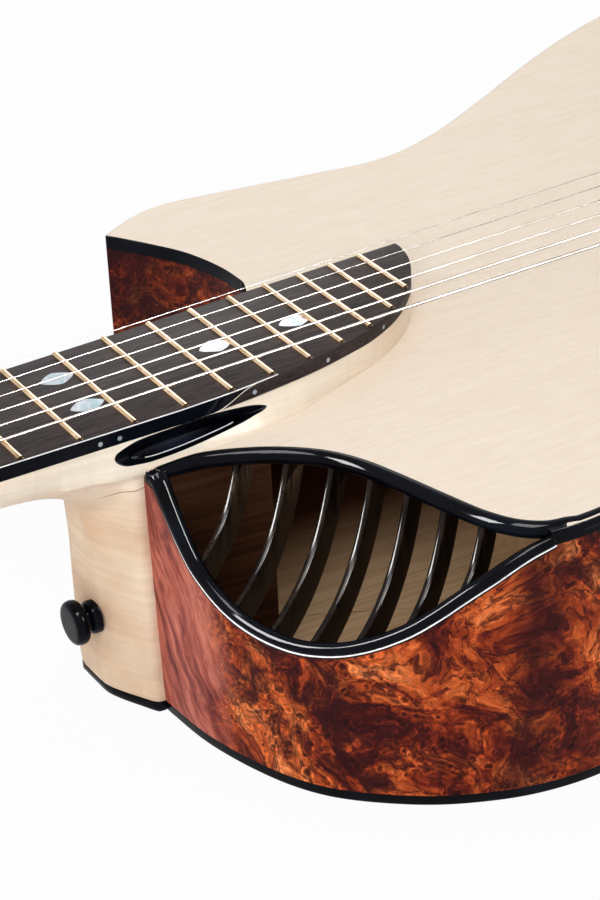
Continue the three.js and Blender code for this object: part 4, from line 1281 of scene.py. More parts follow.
@dataclass
class HeadForm:
    """Place and outline of the head."""

    pitch: float = 10.0
    length: float = 178.0
    thickness: float = 14.0
    neck_half: float = 23.0
    shoulder_half: float = 36.0
    tip_half: float = 33.0
    rise_shares: tuple[Pair, ...] = ((0.04, 0), (0.16, 0.45), (0.3, 0.93), (0.42, 1))
    tip_shares: tuple[Pair, ...] = ((0.93, 1), (0.985, 0.5), (1, 0))
    tuner_count: int = 6
    tuner_start: float = 40.0
    tuner_pitch: float = 42.0
    post_half_spread: float = 22.0
    post_draw: float = 1.5

    def __post_init__(self) -> None:
        """Sets the head's own frame."""
        turn = Matrix.Rotation(-math.radians(self.pitch), 4, "Y")
        self.matrix = Matrix.Translation((-NUT_LENGTH, 0, WOOD_TOP)) @ turn

    def outline(self) -> list[Vector]:
        """Returns the closed outline in the head's own frame."""
        rise = [(-along * self.length,
                 self.neck_half + (self.shoulder_half - self.neck_half) * wide)
                for along, wide in self.rise_shares]
        tip = [(-along * self.length, wide * self.tip_half) for along, wide in self.tip_shares]
        side = smooth_line(rise, 8)
        crown = smooth_line([side[-1]] + tip, 10)[1:]
        half = [Vector((0, self.neck_half))] + side + crown
        return half + [Vector((p.x, -p.y)) for p in half[:-1]][::-1]

    def tuner_place(self, index: int) -> tuple[float, float, int]:
        """Returns a tuner's X, Y and side of the head, in the head's own frame."""
        row = self.tuner_count // 2
        far = index if index < row else self.tuner_count - 1 - index
        side = 1 if index < row else -1
        x = -self.tuner_start - far * self.tuner_pitch
        return x, side * (self.post_half_spread - far * self.post_draw), side


# Sub-assemblies


@dataclass
class Soundbox:
    """Top, back, sides and the black trim round their edges."""

    form: BodyForm
    port: PortForm
    slot: "LeafSlot"
    binding_height: float = 5.2
    back_binding_height: float = 4.0
    back_edge_round: float = 1.0
    plate: float = 3.0
    top_edge: float = 0.24
    edge_round: float = 0.22
    edge_lap: float = 0.3
    port_reach: float = 150.0

    def top_ring(self) -> list[Vector]:
        """Returns the plan of the top, which ends under the port's upper bead."""
        along_bead = [Vector((p.x, p.y)) for p in self.port.upper_path()]
        ring = list(along_bead)
        end = self.port.share_of(along_bead[-1])
        for i in range(2, len(self.form.ring)):
            p = self.form.inset(i, self.top_edge)
            in_port = i < self.form.tail and self.port.share_of(p) < end + 0.01
            if not in_port or p.x >= JOIN_X + self.port_reach:
                ring.append(p)
        return ring

    def top(self, shop: Workshop, looks: Finishes) -> None:
        """Builds the spruce top, open at the leaf slot."""
        piece = shop.mesh("spruce_top_plate", slab(self.top_ring(), TOP_Z - self.plate, TOP_Z))
        shop.carve(piece, self.slot.cutter())
        shop.dress(piece, looks.spruce, stands_for=["soundboard"])

    def side_top(self, i: int) -> float:
        """Returns the height of the side's upper edge at an outline point."""
        p = self.form.inset(i, self.port.lower_inset)
        share = self.port.share_of(p)
        in_port = 2 <= i < self.form.tail and share < self.port.lower_end_share
        if in_port and p.x < JOIN_X + self.port_reach:
            return self.port.lower_z(max(share, self.port.lower_start_share))
        return TOP_Z - self.binding_height

    def side_section(self, i: int) -> list[Pair]:
        """Returns the section of the side wall at an outline point."""
        high, wall = self.side_top(i), self.form.side_wall
        low = self.form.base_at(i, 0) + self.back_binding_height
        deep = self.form.base_at(i, wall) + self.back_binding_height
        return [(0, high), (0, (high + low) / 2), (0, low), (wall, deep),
                (wall, (high + deep) / 2), (wall, high)]

    def sides(self, shop: Workshop, looks: Finishes) -> None:
        """Builds both sides."""
        bass = range(0, self.form.tail + 1)
        treble = range(self.form.tail, len(self.form.ring) + 1)
        for name, node, run in (("bass_side_wall", "bass_side", bass),
                                ("treble_side_wall", "treble_side", treble)):
            shop.add(name, self.form.band(run, self.side_section), looks.burl, Slot.BURL, node)

    def top_section(self, _: int) -> list[Pair]:
        """Returns the section of the top binding, with its rounded outer edge."""
        low, wall = TOP_Z - self.binding_height, self.form.side_wall
        r = self.edge_round
        rounded = [(r * (1 - s), TOP_Z - r * (1 - c)) for c, s in quarter()]
        under = TOP_Z - self.edge_lap
        return [(wall, low), (wall, under), (r + 0.04, under)] + rounded + [(0, low)]

    def back_section(self, i: int) -> list[Pair]:
        """Returns the section of the back binding at an outline point."""
        wall, r = self.form.side_wall, self.back_edge_round
        high = self.back_binding_height
        rounded = []
        for c, s in quarter():
            depth = r * (1 - c)
            rounded.append((depth, self.form.base_at(i, depth) + r * (1 - s)))
        inner = self.form.base_at(i, wall)
        outer = self.form.base_at(i, 0)
        return [(wall, inner + high), (0, outer + high)] + rounded + [(wall, inner)]

    def bindings(self, shop: Workshop, looks: Finishes) -> None:
        """Builds the black trim of the top's and the back's edges."""
        start = next(i for i in range(2, self.form.tail)
                     if self.port.share_of(self.form.ring[i]) > self.port.lower_end_share)
        stop = next(i for i in range(len(self.form.ring) - 1, 0, -1)
                    if self.form.ring[i].x > JOIN_X + self.form.side_wall)
        shop.add("top_edge_binding", self.form.band(range(start, stop + 1), self.top_section),
                 looks.trim, Slot.TRIM, "top_binding")
        around = range(len(self.form.ring))
        shop.add("back_edge_binding", self.form.band(around, self.back_section, closed=True),
                 looks.trim, Slot.TRIM, "back_binding")

    def back(self, shop: Workshop, looks: Finishes) -> None:
        """Builds the back, burl outside and pale wood inside."""
        ring = [self.form.inset(i, self.form.side_wall) for i in range(len(self.form.ring))]
        middle = self.form.back_z
        shape = slab(ring, middle, lambda x: middle(x) + self.plate)
        piece = shop.mesh("back_plate_wood", shape)
        piece.data.materials.append(looks.burl)
        piece.data.materials.append(looks.inner)
        for face in piece.data.polygons:
            face.material_index = 1 if face.normal.z > 0.5 else 0
        shop.dress(piece, looks.burl, stands_for=["back_plate"])

    def build(self, shop: Workshop, looks: Finishes) -> None:
        """Builds the whole soundbox."""
        self.top(shop, looks)
        self.sides(shop, looks)
        self.bindings(shop, looks)
        self.back(shop, looks)


@dataclass
class SoundPort:
    """Beads and ribs of the sound port."""

    port: PortForm
    rib_count: int = 7
    rib_start_share: float = 0.1482
    rib_end_share: float = 0.781
    rib_half: float = 1.2
    rib_depth: float = 11.5
    rib_round: float = 0.9
    tail_length: float = 60.0
    tail_inset: float = 2.6
    tail_loss: float = 0.5
    swell: float = 0.65
    swell_share: float = 0.22
    dome_steps: float = 4.0
    corner_turn: tuple[Spot, ...] = (
        (324.6, -35.1, -16.2), (325.0, -36.2, -16.0))
    least_size: float = 0.12
    end_gap: float = 3.0
    ease_share: float = 0.35
    late_share: float = 0.8
    late_loss: float = 0.3
    early_share: float = 0.04
    early_loss: float = 1.0
    line_radius: float = 0.3
    line_lift: float = 0.08
    bead_sides: int = 28
    line_sides: int = 10
    rib_steps: int = 28
    corner_plan: tuple[float, float, float, float] = (-0.25, 2.8, -36.2, -31.2)
    corner_low: float = 6.2
    corner_high: float = 1.2

    def beads(self, shop: Workshop, looks: Finishes) -> None:
        """Builds the rounded black beads above and below the opening."""
        upper = self.port.upper_path()
        body = self.port.body
        end = upper[-1]
        start = len(upper)
        upper += [Vector((p.x, p.y, self.port.rim_z - 0.1)) for p in
                  (body.inset(i, self.tail_inset) for i in range(2, body.tail))
                  if end.x + self.end_gap < p.x < end.x + self.tail_length]
        total = len(upper) - 1

        def upper_size(share: float) -> float:
            """Returns the upper bead's radius, which swells from the corner."""
            swell = min(1.0, share * total / start / self.swell_share)
            dome = min(1.0, share * total / self.dome_steps)
            past = max(0.0, share * total - start) / max(total - start, 1)
            full = self.port.upper_radius - self.swell * (1 - swell) - self.tail_loss * past
            return full * max(self.least_size, (1 - (1 - dome) ** 2) ** 0.5)

        def lower_size(share: float) -> float:
            """Returns the lower bead's radius, which shrinks towards both beads' meeting."""
            first = self.port.lower_start_radius - self.port.lower_radius
            ease = max(0.0, 1 - share / self.ease_share)
            late = max(0.0, (share - self.late_share) / (1 - self.late_share))
            early = max(0.0, 1 - share / self.early_share)
            thin = self.late_loss * late + self.early_loss * early
            return self.port.lower_radius + first * ease - thin

        shop.add("upper_port_bead", tube(upper, upper_size, self.bead_sides), looks.trim,
                 Slot.TRIM, "upper_port_rim", sharp=60)
        path = [Vector(p) for p in self.corner_turn] + self.port.lower_path()
        shop.add("lower_port_bead", tube(path, lower_size, self.bead_sides), looks.trim, Slot.TRIM,
                 "lower_port_rim", sharp=60)
        self.line(shop, looks, path, lower_size)
        self.corner_block(shop, looks)

    def line(self, shop: Workshop, looks: Finishes, path: list[Vector],
             size: Callable[[float], float]) -> None:
        """Builds the thin pale line under the lower bead, and the black one outside it.

        Args:
            shop: the workshop.
            looks: the finishes.
            path: the lower bead's middle line.
            size: the lower bead's radius along it.
        """
        last = len(path) - 1
        for name, finish, slot, drop in (
                ("lower_port_line", looks.line, Slot.BONE, 0.1),
                ("lower_port_edge", looks.trim, Slot.TRIM, 0.62)):
            moved = []
            for i in range(len(self.corner_turn) + 2, last + 1):
                p = path[i]
                run = (path[min(i + 1, last)] - path[i - 1]).normalized()
                out = self.port.outward(p)
                out = (out - run * out.dot(run)).normalized()
                down = run.cross(out)
                down = -down if down.z > 0 else down
                reach = self.port.lower_inset + self.line_lift
                below = max(size(i / last) ** 2 - reach**2, 0.01) ** 0.5
                moved.append(p + out * reach + down * (below + drop))
            shop.add(name, tube(moved, self.line_radius, self.line_sides), finish, slot, sharp=60)

    def corner_block(self, shop: Workshop, looks: Finishes) -> None:
        """Builds the small black block where the beads meet beside the heel."""
        left, right, low, high = self.corner_plan
        ring = oblong(JOIN_X + left, JOIN_X + right, low, high)
        shop.add("port_corner_block",
                 slab(ring, TOP_Z - self.corner_low, TOP_Z - self.corner_high), looks.trim,
                 Slot.TRIM, ease=(0.5, 3))

    def section(self) -> list[Pair]:
        """Returns a rib's section as (along the port, depth), with a rounded front."""
        h, r = self.rib_half, self.rib_round
        left = [(-h + r - r * c, r - r * s) for c, s in quarter()]
        right = [(-x, y) for x, y in reversed(left)]
        return [(-h, self.rib_depth)] + left + right + [(h, self.rib_depth)]

    def rib(self, index: int) -> Shape:
        """Returns one rib, swept along the hollow face."""
        share = self.rib_start_share + index / (self.rib_count - 1) * (
            self.rib_end_share - self.rib_start_share)
        curve = self.port.scoop(share, self.rib_steps)
        last = len(curve) - 1
        rings = []
        for i, p in enumerate(curve):
            run = (curve[min(i + 1, last)] - curve[max(i - 1, 0)]).normalized()
            inward = Vector((-run.y, run.x))
            ring = []
            for side, depth in self.section():
                q = p + inward * depth
                ring.append(self.port.spot(q.x, q.y, share * self.port.length + side))
            rings.append(ring)
        return skin(rings)

    def build(self, shop: Workshop, looks: Finishes) -> None:
        """Builds the beads and the ribs."""
        self.beads(shop, looks)
        for i in range(self.rib_count):
            shop.add(f"port_rib_{i + 1}_rounded", self.rib(i), looks.ribs, Slot.EBONY,
                     f"port_rib_{i + 1}")


@dataclass
class LeafSlot:
    """Leaf-shaped opening in the tongue's bass flank, with a black lining like a funnel."""

    way: Spot = (0.12, 0.72, -0.68)
    up: Spot = (0.0, 0.46, 0.89)
    reach: float = 13.0
    # radius of the pale tube that is a painted highlight on the lining's lower lip
    line_radius: float = 0.17
    edge: tuple[Spot, ...] = (
        (314.9, -30.3, -9.1), (315.5, -29.9, -8.1), (316.5, -29.7, -7.5), (320.0, -29.4, -6.5),
        (324.3, -29.1, -5.8), (330.5, -29.1, -5.5), (334.6, -29.2, -5.4), (342.6, -29.1, -5.3),
        (350.0, -28.9, -5.4), (357.0, -29.0, -5.8), (364.7, -29.0, -6.7), (369.0, -29.3, -7.8),
        (370.2, -29.7, -8.5), (368.3, -30.3, -9.1), (365.4, -30.7, -9.5), (360.5, -31.5, -10.1),
        (351.5, -32.1, -11.0), (342.1, -32.5, -11.8), (335.1, -32.5, -12.3),
        (330.2, -32.4, -12.5), (325.8, -32.3, -12.5), (322.2, -32.1, -12.2),
        (319.3, -31.9, -11.9), (317.1, -31.5, -11.4), (315.5, -30.9, -10.4))
    sections: tuple[tuple[float, float, float, float], ...] = (
        (0.72, 0.54, 0.55, 10.5), (0.74, 0.58, 0.55, 4.1), (0.76, 0.61, 0.5, 3.3),
        (0.8, 0.67, 0.4, 2.7), (0.86, 0.76, 0.25, 1.9), (0.93, 0.87, 0.1, 0.9),
        (0.985, 0.96, 0.0, 0.05), (1.0, 1.0, 0.0, -0.12), (1.012, 1.04, 0.0, -0.1),
        (0.97, 0.97, 0.1, 1.4), (0.8, 0.7, 0.5, 4.5), (0.76, 0.6, 0.55, 12.0))
    # ring and span of that painted highlight line
    highlight_ring: int = 2
    highlight_shares: Pair = (-0.62, 0.96)
    probe: float = 6.0
    rim: list[Vector] = field(default_factory=list)

    @property
    def inwards(self) -> Vector:
        """Returns the way into the slot, one unit long."""
        return Vector(self.way).normalized()

    def settle_on(self, shop: Workshop, piece: bpy.types.Object) -> None:
        """Finds where the slot's edge lies on the wood.

        Args:
            shop: the workshop that placed the piece.
            piece: the neck.
        """
        data = piece.data
        tree = BVHTree.FromPolygons([v.co for v in data.vertices],
                                    [f.vertices for f in data.polygons])
        steps, count = 4, len(self.edge)
        closed = [self.edge[i % count] for i in range(-2, count + 3)]
        ring = smooth_line(closed, steps)[2 * steps:(count + 2) * steps]
        way, turn, back = self.inwards, shop.place.to_3x3(), shop.place.inverted()
        for p in ring:
            start = (shop.place @ (p - way * self.probe)) * MM
            hit = tree.ray_cast(start, turn @ way, 2 * self.probe * MM)[0]
            self.rim.append(back @ (hit / MM) if hit else p)

    def section(self, length: float, width: float, lift: float, depth: float) -> list[Vector]:
        """Returns the rim scaled about its middle and moved inwards.

        Args:
            length: share of its length.
            width: share of its width.
            lift: how far it moves up the flank.
            depth: how far it moves in.

        Returns:
            The ring.
        """
        middle = sum(self.rim, Vector()) / len(self.rim)
        ends = max(self.rim, key=lambda p: p.x) - min(self.rim, key=lambda p: p.x)
        along = ends.normalized()
        shift = Vector(self.up) * lift + self.inwards * depth
        ring = []
        for p in self.rim:
            off = p - middle
            run = along * off.dot(along)
            ring.append(middle + run * length + (off - run) * width + shift)
        return ring

    def cutter(self) -> Shape:
        """Returns the solid that the opening takes out of the wood."""
        return skin([self.section(1.0, 1.0, 0.0, depth) for depth in (-3.0, self.reach)])

    def build(self, shop: Workshop, looks: Finishes) -> None:
        """Builds the lining and a pale line on its lower inner edge, a painted highlight of the
        lip's rounding.
        """
        rings = [self.section(*row) for row in self.sections]
        shop.add("leaf_slot_lining", skin(rings), looks.trim, Slot.TRIM, "slot_lining", sharp=50)
        inner = self.section(*self.sections[self.highlight_ring])
        middle = sum(inner, Vector()) / len(inner)
        half = (max(p.x for p in inner) - min(p.x for p in inner)) / 2
        start, end = (middle.x + half * share for share in self.highlight_shares)
        lower = [p for p in inner
                 if (p - middle).dot(Vector(self.up)) < 0 and start < p.x < end]
        lower.sort(key=lambda p: p.x)
        path = [p - self.inwards * 0.1 for p in lower]
        # A pale tube standing in for the highlight on the lining's lower lip.
        shop.add("leaf_slot_painted_highlight", tube(path, self.line_radius, 8), looks.line, Slot.BONE)


@dataclass
class Neck:
    """Maple neck: tongue, shaft, heel and head in one flowing piece, and the heel's black cap."""

    form: BodyForm
    board: BoardForm
    head: HeadForm
    slot: LeafSlot
    nut_depth: float = 14.5
    join_depth: float = 17.5
    roundness: float = 0.75
    cap_thickness: float = 4.0
    cap_shares: tuple[Pair, ...] = (
        (0, 0.9), (0.12, 0.3), (0.3, -0.1), (0.96, -0.15), (1.02, 0.0))
    spare: float = 9.0
    grain: float = 0.8
    softening: int = 26
    flow: float = 0.5
    shaft_steps: int = 60
    round_steps: int = 24
    heel_lap: float = 1.6
    fillet: tuple[Pair, ...] = (
        (280, 0), (288, 0.9), (294.5, 2.4), (300, 4.6), (305, 7.6), (310, 12.0), (315, 18.0),
        (320, 25.0), (323.7, 31.0))
    heel_bass: tuple[Pair, ...] = (
        (1.0, 0), (1.0, 0.1), (0.985, 0.22), (0.9, 0.37), (0.8, 0.52), (0.65, 0.75),
        (0.5, 0.93), (0.4, 0.99), (0.25, 1.0), (0, 1.0))
    heel_treble: tuple[Pair, ...] = (
        (0.1, 0.97), (0.33, 0.7), (0.55, 0.45), (0.75, 0.24), (0.92, 0.08), (1, 0.02), (1, 0))
    heel_levels: tuple[tuple[float, float, float, float], ...] = (
        (-7.0, 17.5, 29.6, 28.5), (-14.0, 16.4, 30.4, 27.5), (-22.0, 15.2, 30.8, 26.0),
        (-32.0, 14.2, 31.0, 25.0), (-40.0, 13.6, 31.2, 24.5), (-50.0, 13.1, 31.5, 24.0),
        (-62.0, 13.2, 32.0, 24.0), (-80.0, 13.3, 32.6, 24.0), (-96.0, 13.1, 33.4, 24.0),
        (-104.0, 12.3, 34.0, 24.0), (-122.0, 12.0, 34.6, 24.0))

    def shaft(self) -> Shape:
        """Returns the shaft, with spare wood above for the cut."""
        rings = []
        for k in range(self.shaft_steps + 1):
            start = -NUT_LENGTH - self.spare
            x = start + (JOIN_X + NUT_LENGTH + self.spare) * k / self.shaft_steps
            share = max(x, 0) / JOIN_X
            half = self.board.half(max(x, 0))
            depth = self.nut_depth + (self.join_depth - self.nut_depth) * share
            depth += value_at(self.fillet, x)
            ring = [Vector((x, -half, WOOD_TOP + self.spare))]
            for i in range(self.round_steps + 1):
                a = math.pi * i / self.round_steps
                z = WOOD_TOP - depth * math.sin(a) ** self.roundness
                ring.append(Vector((x, -half * math.cos(a), z)))
            ring.append(Vector((x, half, WOOD_TOP + self.spare)))
            rings.append(ring)
        return skin(rings)

    def heel_ring(self, z: float, reach: float, bass_half: float, treble_half: float,
                  into: float) -> list[Vector]:
        """Returns the heel's outline at one level.

        Args:
            z: the level.
            reach: how far the heel stands out from the body.
            bass_half: its half width on the bass side.
            treble_half: its half width on the treble side.
            into: how far it runs into the body.

        Returns:
            The closed ring.
        """
        back = JOIN_X - FIT_GAP
        rows = [(-wide * bass_half, back - out * reach) for wide, out in self.heel_bass]
        rows += [(wide * treble_half, back - out * reach) for wide, out in self.heel_treble]
        ring = [Vector((x, y, z)) for y, x in smooth_line(rows, 4)]
        ring.append(Vector((back + into, treble_half, z)))
        ring.append(Vector((back + into, -bass_half, z)))
        return ring

    def heel(self) -> Shape:
        """Returns the heel block, from under the board to below its cap."""
        return skin([self.heel_ring(z, reach, bass, treble, self.heel_lap)
                     for z, reach, bass, treble in self.heel_levels])

    def tongue(self) -> Shape:
        """Returns the tongue over the top, with spare wood above for a crisp edge."""
        plan = self.board.outline(self.board.flare_widths[0][0], 4.0)
        foot = []
        for p in plan:
            bass = p.y < 0 or p.x > self.board.sweep_start and p.y < self.board.half(p.x) - 1
            foot.append(Vector((p.x, p.y - (self.board.flare(p.x) if bass else 0.0))))
        levels = [(foot, TOP_Z - 3.0), (foot, TOP_Z), (plan, NECK_TOP),
                  (plan, NECK_TOP + self.spare)]
        return skin([[Vector((p.x, p.y, z)) for p in ring] for ring, z in levels])

    def head_slab(self) -> Shape:
        """Returns the head, with spare wood above for the cut."""
        ring = self.head.outline()
        return slab(ring, -self.head.thickness, self.spare).moved(self.head.matrix)

    def cut_above(self, shop: Workshop, piece: bpy.types.Object, point: Vector,
                  normal: Vector) -> None:
        """Cuts a piece off on one side of a plane and closes the cut.

        Args:
            shop: the workshop that places it.
            piece: the piece.
            point: a point of the plane, in the string frame.
            normal: the side that goes.
        """
        turn = shop.place.to_3x3()
        work = bmesh.new()
        work.from_mesh(piece.data)
        cut = bmesh.ops.bisect_plane(
            work, geom=work.verts[:] + work.edges[:] + work.faces[:], dist=1e-7,
            plane_co=(shop.place @ point) * MM, plane_no=turn @ normal, clear_outer=True)
        edges = [e for e in cut["geom_cut"] if isinstance(e, bmesh.types.BMEdge)]
        bmesh.ops.triangle_fill(work, use_beauty=False, use_dissolve=True, edges=edges,
                                normal=turn @ normal)
        work.to_mesh(piece.data)
        work.free()

    def wood(self, shop: Workshop, looks: Finishes) -> None:
        """Builds the neck: its parts run together, are eased, and get their flat faces cut."""
        shape = self.shaft().plus(self.heel()).plus(self.tongue()).plus(self.head_slab())
        piece = shop.mesh("maple_neck", shape)
        merge = piece.modifiers.new("merge", "REMESH")
        merge.mode = "VOXEL"
        merge.voxel_size = self.grain * MM
        flow = piece.modifiers.new("flow", "SMOOTH")
        flow.factor = self.flow
        flow.iterations = self.softening
        shop.settle(piece)
        self.cut_above(shop, piece, Vector((0, 0, NECK_TOP)), Vector((0, 0, 1)))
        head_up = (self.head.matrix.to_3x3() @ Vector((0, 0, 1))).normalized()
        self.cut_above(shop, piece, Vector((-NUT_LENGTH, 0, WOOD_TOP)), head_up)
        slope = math.atan(TAPER_DROP / BODY_LENGTH)
        down = Vector((-math.sin(slope), 0, -math.cos(slope)))
        cap_top = Vector((JOIN_X, 0, self.form.back_z(JOIN_X) + self.cap_thickness))
        self.cut_above(shop, piece, cap_top, down)
        self.slot.settle_on(shop, piece)
        shop.carve(piece, self.slot.cutter())
        shop.dress(piece, looks.maple, stands_for=["neck"])

    def cap(self, shop: Workshop, looks: Finishes) -> None:
        """Builds the black cap under the heel."""
        base = self.form.back_z
        _, reach, bass, treble = self.heel_levels[-2]
        rings = []
        for share, shrink in self.cap_shares:
            ring = self.heel_ring(0, reach - shrink, bass + 0.4 - shrink, treble - shrink, 0.2)
            rings.append([Vector((p.x, p.y, base(p.x) + share * self.cap_thickness))
                          for p in ring])
        shop.add("heel_cap_rounded", skin(rings), looks.trim, Slot.TRIM, "heel_cap")

    def build(self, shop: Workshop, looks: Finishes) -> None:
        """Builds the neck and its cap."""
        self.wood(shop, looks)
        self.cap(shop, looks)


@dataclass
class Fretboard:
    """Ebony board with crowned frets, pearl marks, side dots and an edge line."""

    board: BoardForm
    fret_count: int = 20
    fret_half: float = 1.1
    fret_height: float = 1.1
    fret_side: float = 0.35
    fret_inset: float = 1.0
    trim_end: float = 368.0
    trim_lean: float = 16.0
    line_end: float = 377.0
    line_width: float = 0.22
    climb: float = 4.8
    climb_steps: int = 16
    octave: int = 12
    mark_shift: Pair = (2.6, 2.0)
    mark_pair_half: float = 10.7
    mark_half_length: float = 6.0
    mark_half_width: float = 4.2
    dot_radius: float = 0.82
    dot_pair_half: float = 3.4
    dot_drop: float = 3.0
    side_marks: tuple[int, ...] = (3, 5, 7, 9, 15, 17, 19)
    face_marks: tuple[int, ...] = (3, 5, 7, 9, 15, 17)

    def fret_x(self, n: float) -> float:
        """Returns the place of a fret."""
        return SCALE * (1 - 2 ** (-n / self.octave))

    def between(self, n: int) -> float:
        """Returns the middle of the space before a fret."""
        return (self.fret_x(n) + self.fret_x(n - 1)) / 2

    def wood(self, shop: Workshop, looks: Finishes) -> None:
        """Builds the board itself."""
        shop.add("ebony_fretboard", slab(self.board.outline(0), NECK_TOP, 0), looks.board,
                 Slot.BOARD, "fretboard", ease=(0.25, 2))

    def fret(self, n: int) -> Shape:
        """Returns one crowned fret with domed ends."""
        x = self.fret_x(n)
        low = self.board.bass_y(x) + self.fret_inset
        high = self.board.half(x) - self.fret_inset
        dome = self.fret_half
        stations = [(low + dome * (1 - s), max(s, 0.12)) for _, s in quarter()]
        ends = [(high - (y - low), size) for y, size in reversed(stations)]
        rings = []
        for y, size in stations + ends:
            ring = []
            for k in range(11):
                a = math.pi * k / 10
                tall = self.fret_side + (self.fret_height - self.fret_side) * math.sin(a)
                ring.append(Vector((x - self.fret_half * math.cos(a) * size, y,
                                    tall * (0.3 + 0.7 * size))))
            ring.append(Vector((x + self.fret_half * 0.4 * size, y, -0.6)))
            ring.append(Vector((x - self.fret_half * 0.4 * size, y, -0.6)))
            rings.append(ring)
        return skin(rings)

    def frets(self, shop: Workshop, looks: Finishes) -> None:
        """Builds every fret as its own piece."""
        for n in range(1, self.fret_count + 1):
            shop.add(f"fret_{n}", self.fret(n), looks.wire, Slot.GOLD, sharp=60)

    def lozenge(self, x: float, y: float) -> Shape:
        """Returns one pearl lozenge, a hair proud of the board."""
        ring = []
        for c, s in spokes(32):
            wide = self.mark_half_length * math.copysign(abs(c) ** 1.5, c)
            tall = self.mark_half_width * math.copysign(abs(s) ** 1.5, s)
            ring.append(Vector((x + wide, y + tall)))
        return slab(ring, -0.6, 0.05)

    def marks(self, shop: Workshop, looks: Finishes) -> None:
        """Builds the pearl marks on the face and the dots on the bass edge."""
        spots = [(self.between(n), 0.0) for n in self.face_marks]
        spots += [(self.between(self.octave), self.mark_pair_half * side) for side in (-1, 1)]
        for i, (x, y) in enumerate(spots):
            shape = self.lozenge(x + self.mark_shift[0], y + self.mark_shift[1])
            shop.add(f"face_mark_{i + 1}", shape, looks.pearl, Slot.BONE)
        dots = [self.between(n) for n in self.side_marks]
        dots += [self.between(self.octave) + self.dot_pair_half * side for side in (-1, 1)]
        for i, x in enumerate(dots):
            y = self.board.bass_y(x)
            lean = (self.board.bass_y(x + 1) - self.board.bass_y(x - 1)) / 2
            turn = Matrix.Rotation(math.atan(lean), 4, "Z") @ Matrix.Rotation(math.pi / 2, 4, "X")
            r = self.dot_radius
            dot = lathe([(0, -0.6), (r, -0.6), (r, 0.02), (0.7, 0.06), (0, 0.08)], 20)
            out = 0.12 if x < self.trim_end else 0.0
            spot = Matrix.Translation((x, y - out, -self.dot_drop)) @ turn
            shop.add(f"side_mark_{i + 1}", dot.moved(spot), looks.dot, Slot.BONE)

    def edge_strip(self, inner: float, outer: float, low: float, high: float,
                   end: float, lean: float) -> Shape:
        """Returns a strip along the bass edge.

        Args:
            inner: how far inside the edge it starts.
            outer: how far outside the edge it ends.
            low: its lower face.
            high: its upper face.
            end: X where it runs out.
            lean: length over which its end runs up in a curve.

        Returns:
            The strip.
        """
        rings = []
        spacing = 1.5
        count = round(end / spacing)
        for k in range(count + 1):
            x = end * k / count
            y = self.board.bass_y(x)
            slope = self.board.bass_y(x + 0.5) - self.board.bass_y(x - 0.5)
            out = Vector((slope, -1)).normalized()
            rise = 1 - min(1.0, (end - x) / lean) if lean else 0.0
            bottom = low + (high - low) * 0.97 * eased(rise)
            near, far = Vector((x, y)) - out * inner, Vector((x, y)) + out * outer
            rings.append([Vector((far.x, far.y, bottom)), Vector((near.x, near.y, bottom)),
                          Vector((near.x, near.y, high)), Vector((far.x, far.y, high))])
        return skin(rings)

    def edges(self, shop: Workshop, looks: Finishes) -> None:
        """Builds the glossy black edge strip and the pale line above it."""
        strip = self.edge_strip(inner=0.4, outer=0.14, low=NECK_TOP, high=-0.05,
                                end=self.trim_end, lean=self.trim_lean)
        shop.add("board_edge_strip", strip, looks.trim, Slot.TRIM)
        line = self.edge_strip(inner=self.line_width, outer=0.16, low=-0.16, high=0.04,
                               end=self.line_end, lean=0.0)
        shop.add("board_edge_line", line, looks.line, Slot.BONE)
        curve = []
        for k in range(self.climb_steps + 1):
            share = k / self.climb_steps
            x = self.trim_end - self.trim_lean * (1 - share)
            curve.append(Vector((x, self.board.bass_y(x) - 0.1,
                                 NECK_TOP + self.climb * eased(share))))
        shop.add("edge_end_line", tube(curve, 0.13, 8), looks.bone, Slot.BONE)

    def build(self, shop: Workshop, looks: Finishes) -> None:
        """Builds the board and all that is let into it."""
        self.wood(shop, looks)
        self.frets(shop, looks)
        self.marks(shop, looks)
        self.edges(shop, looks)


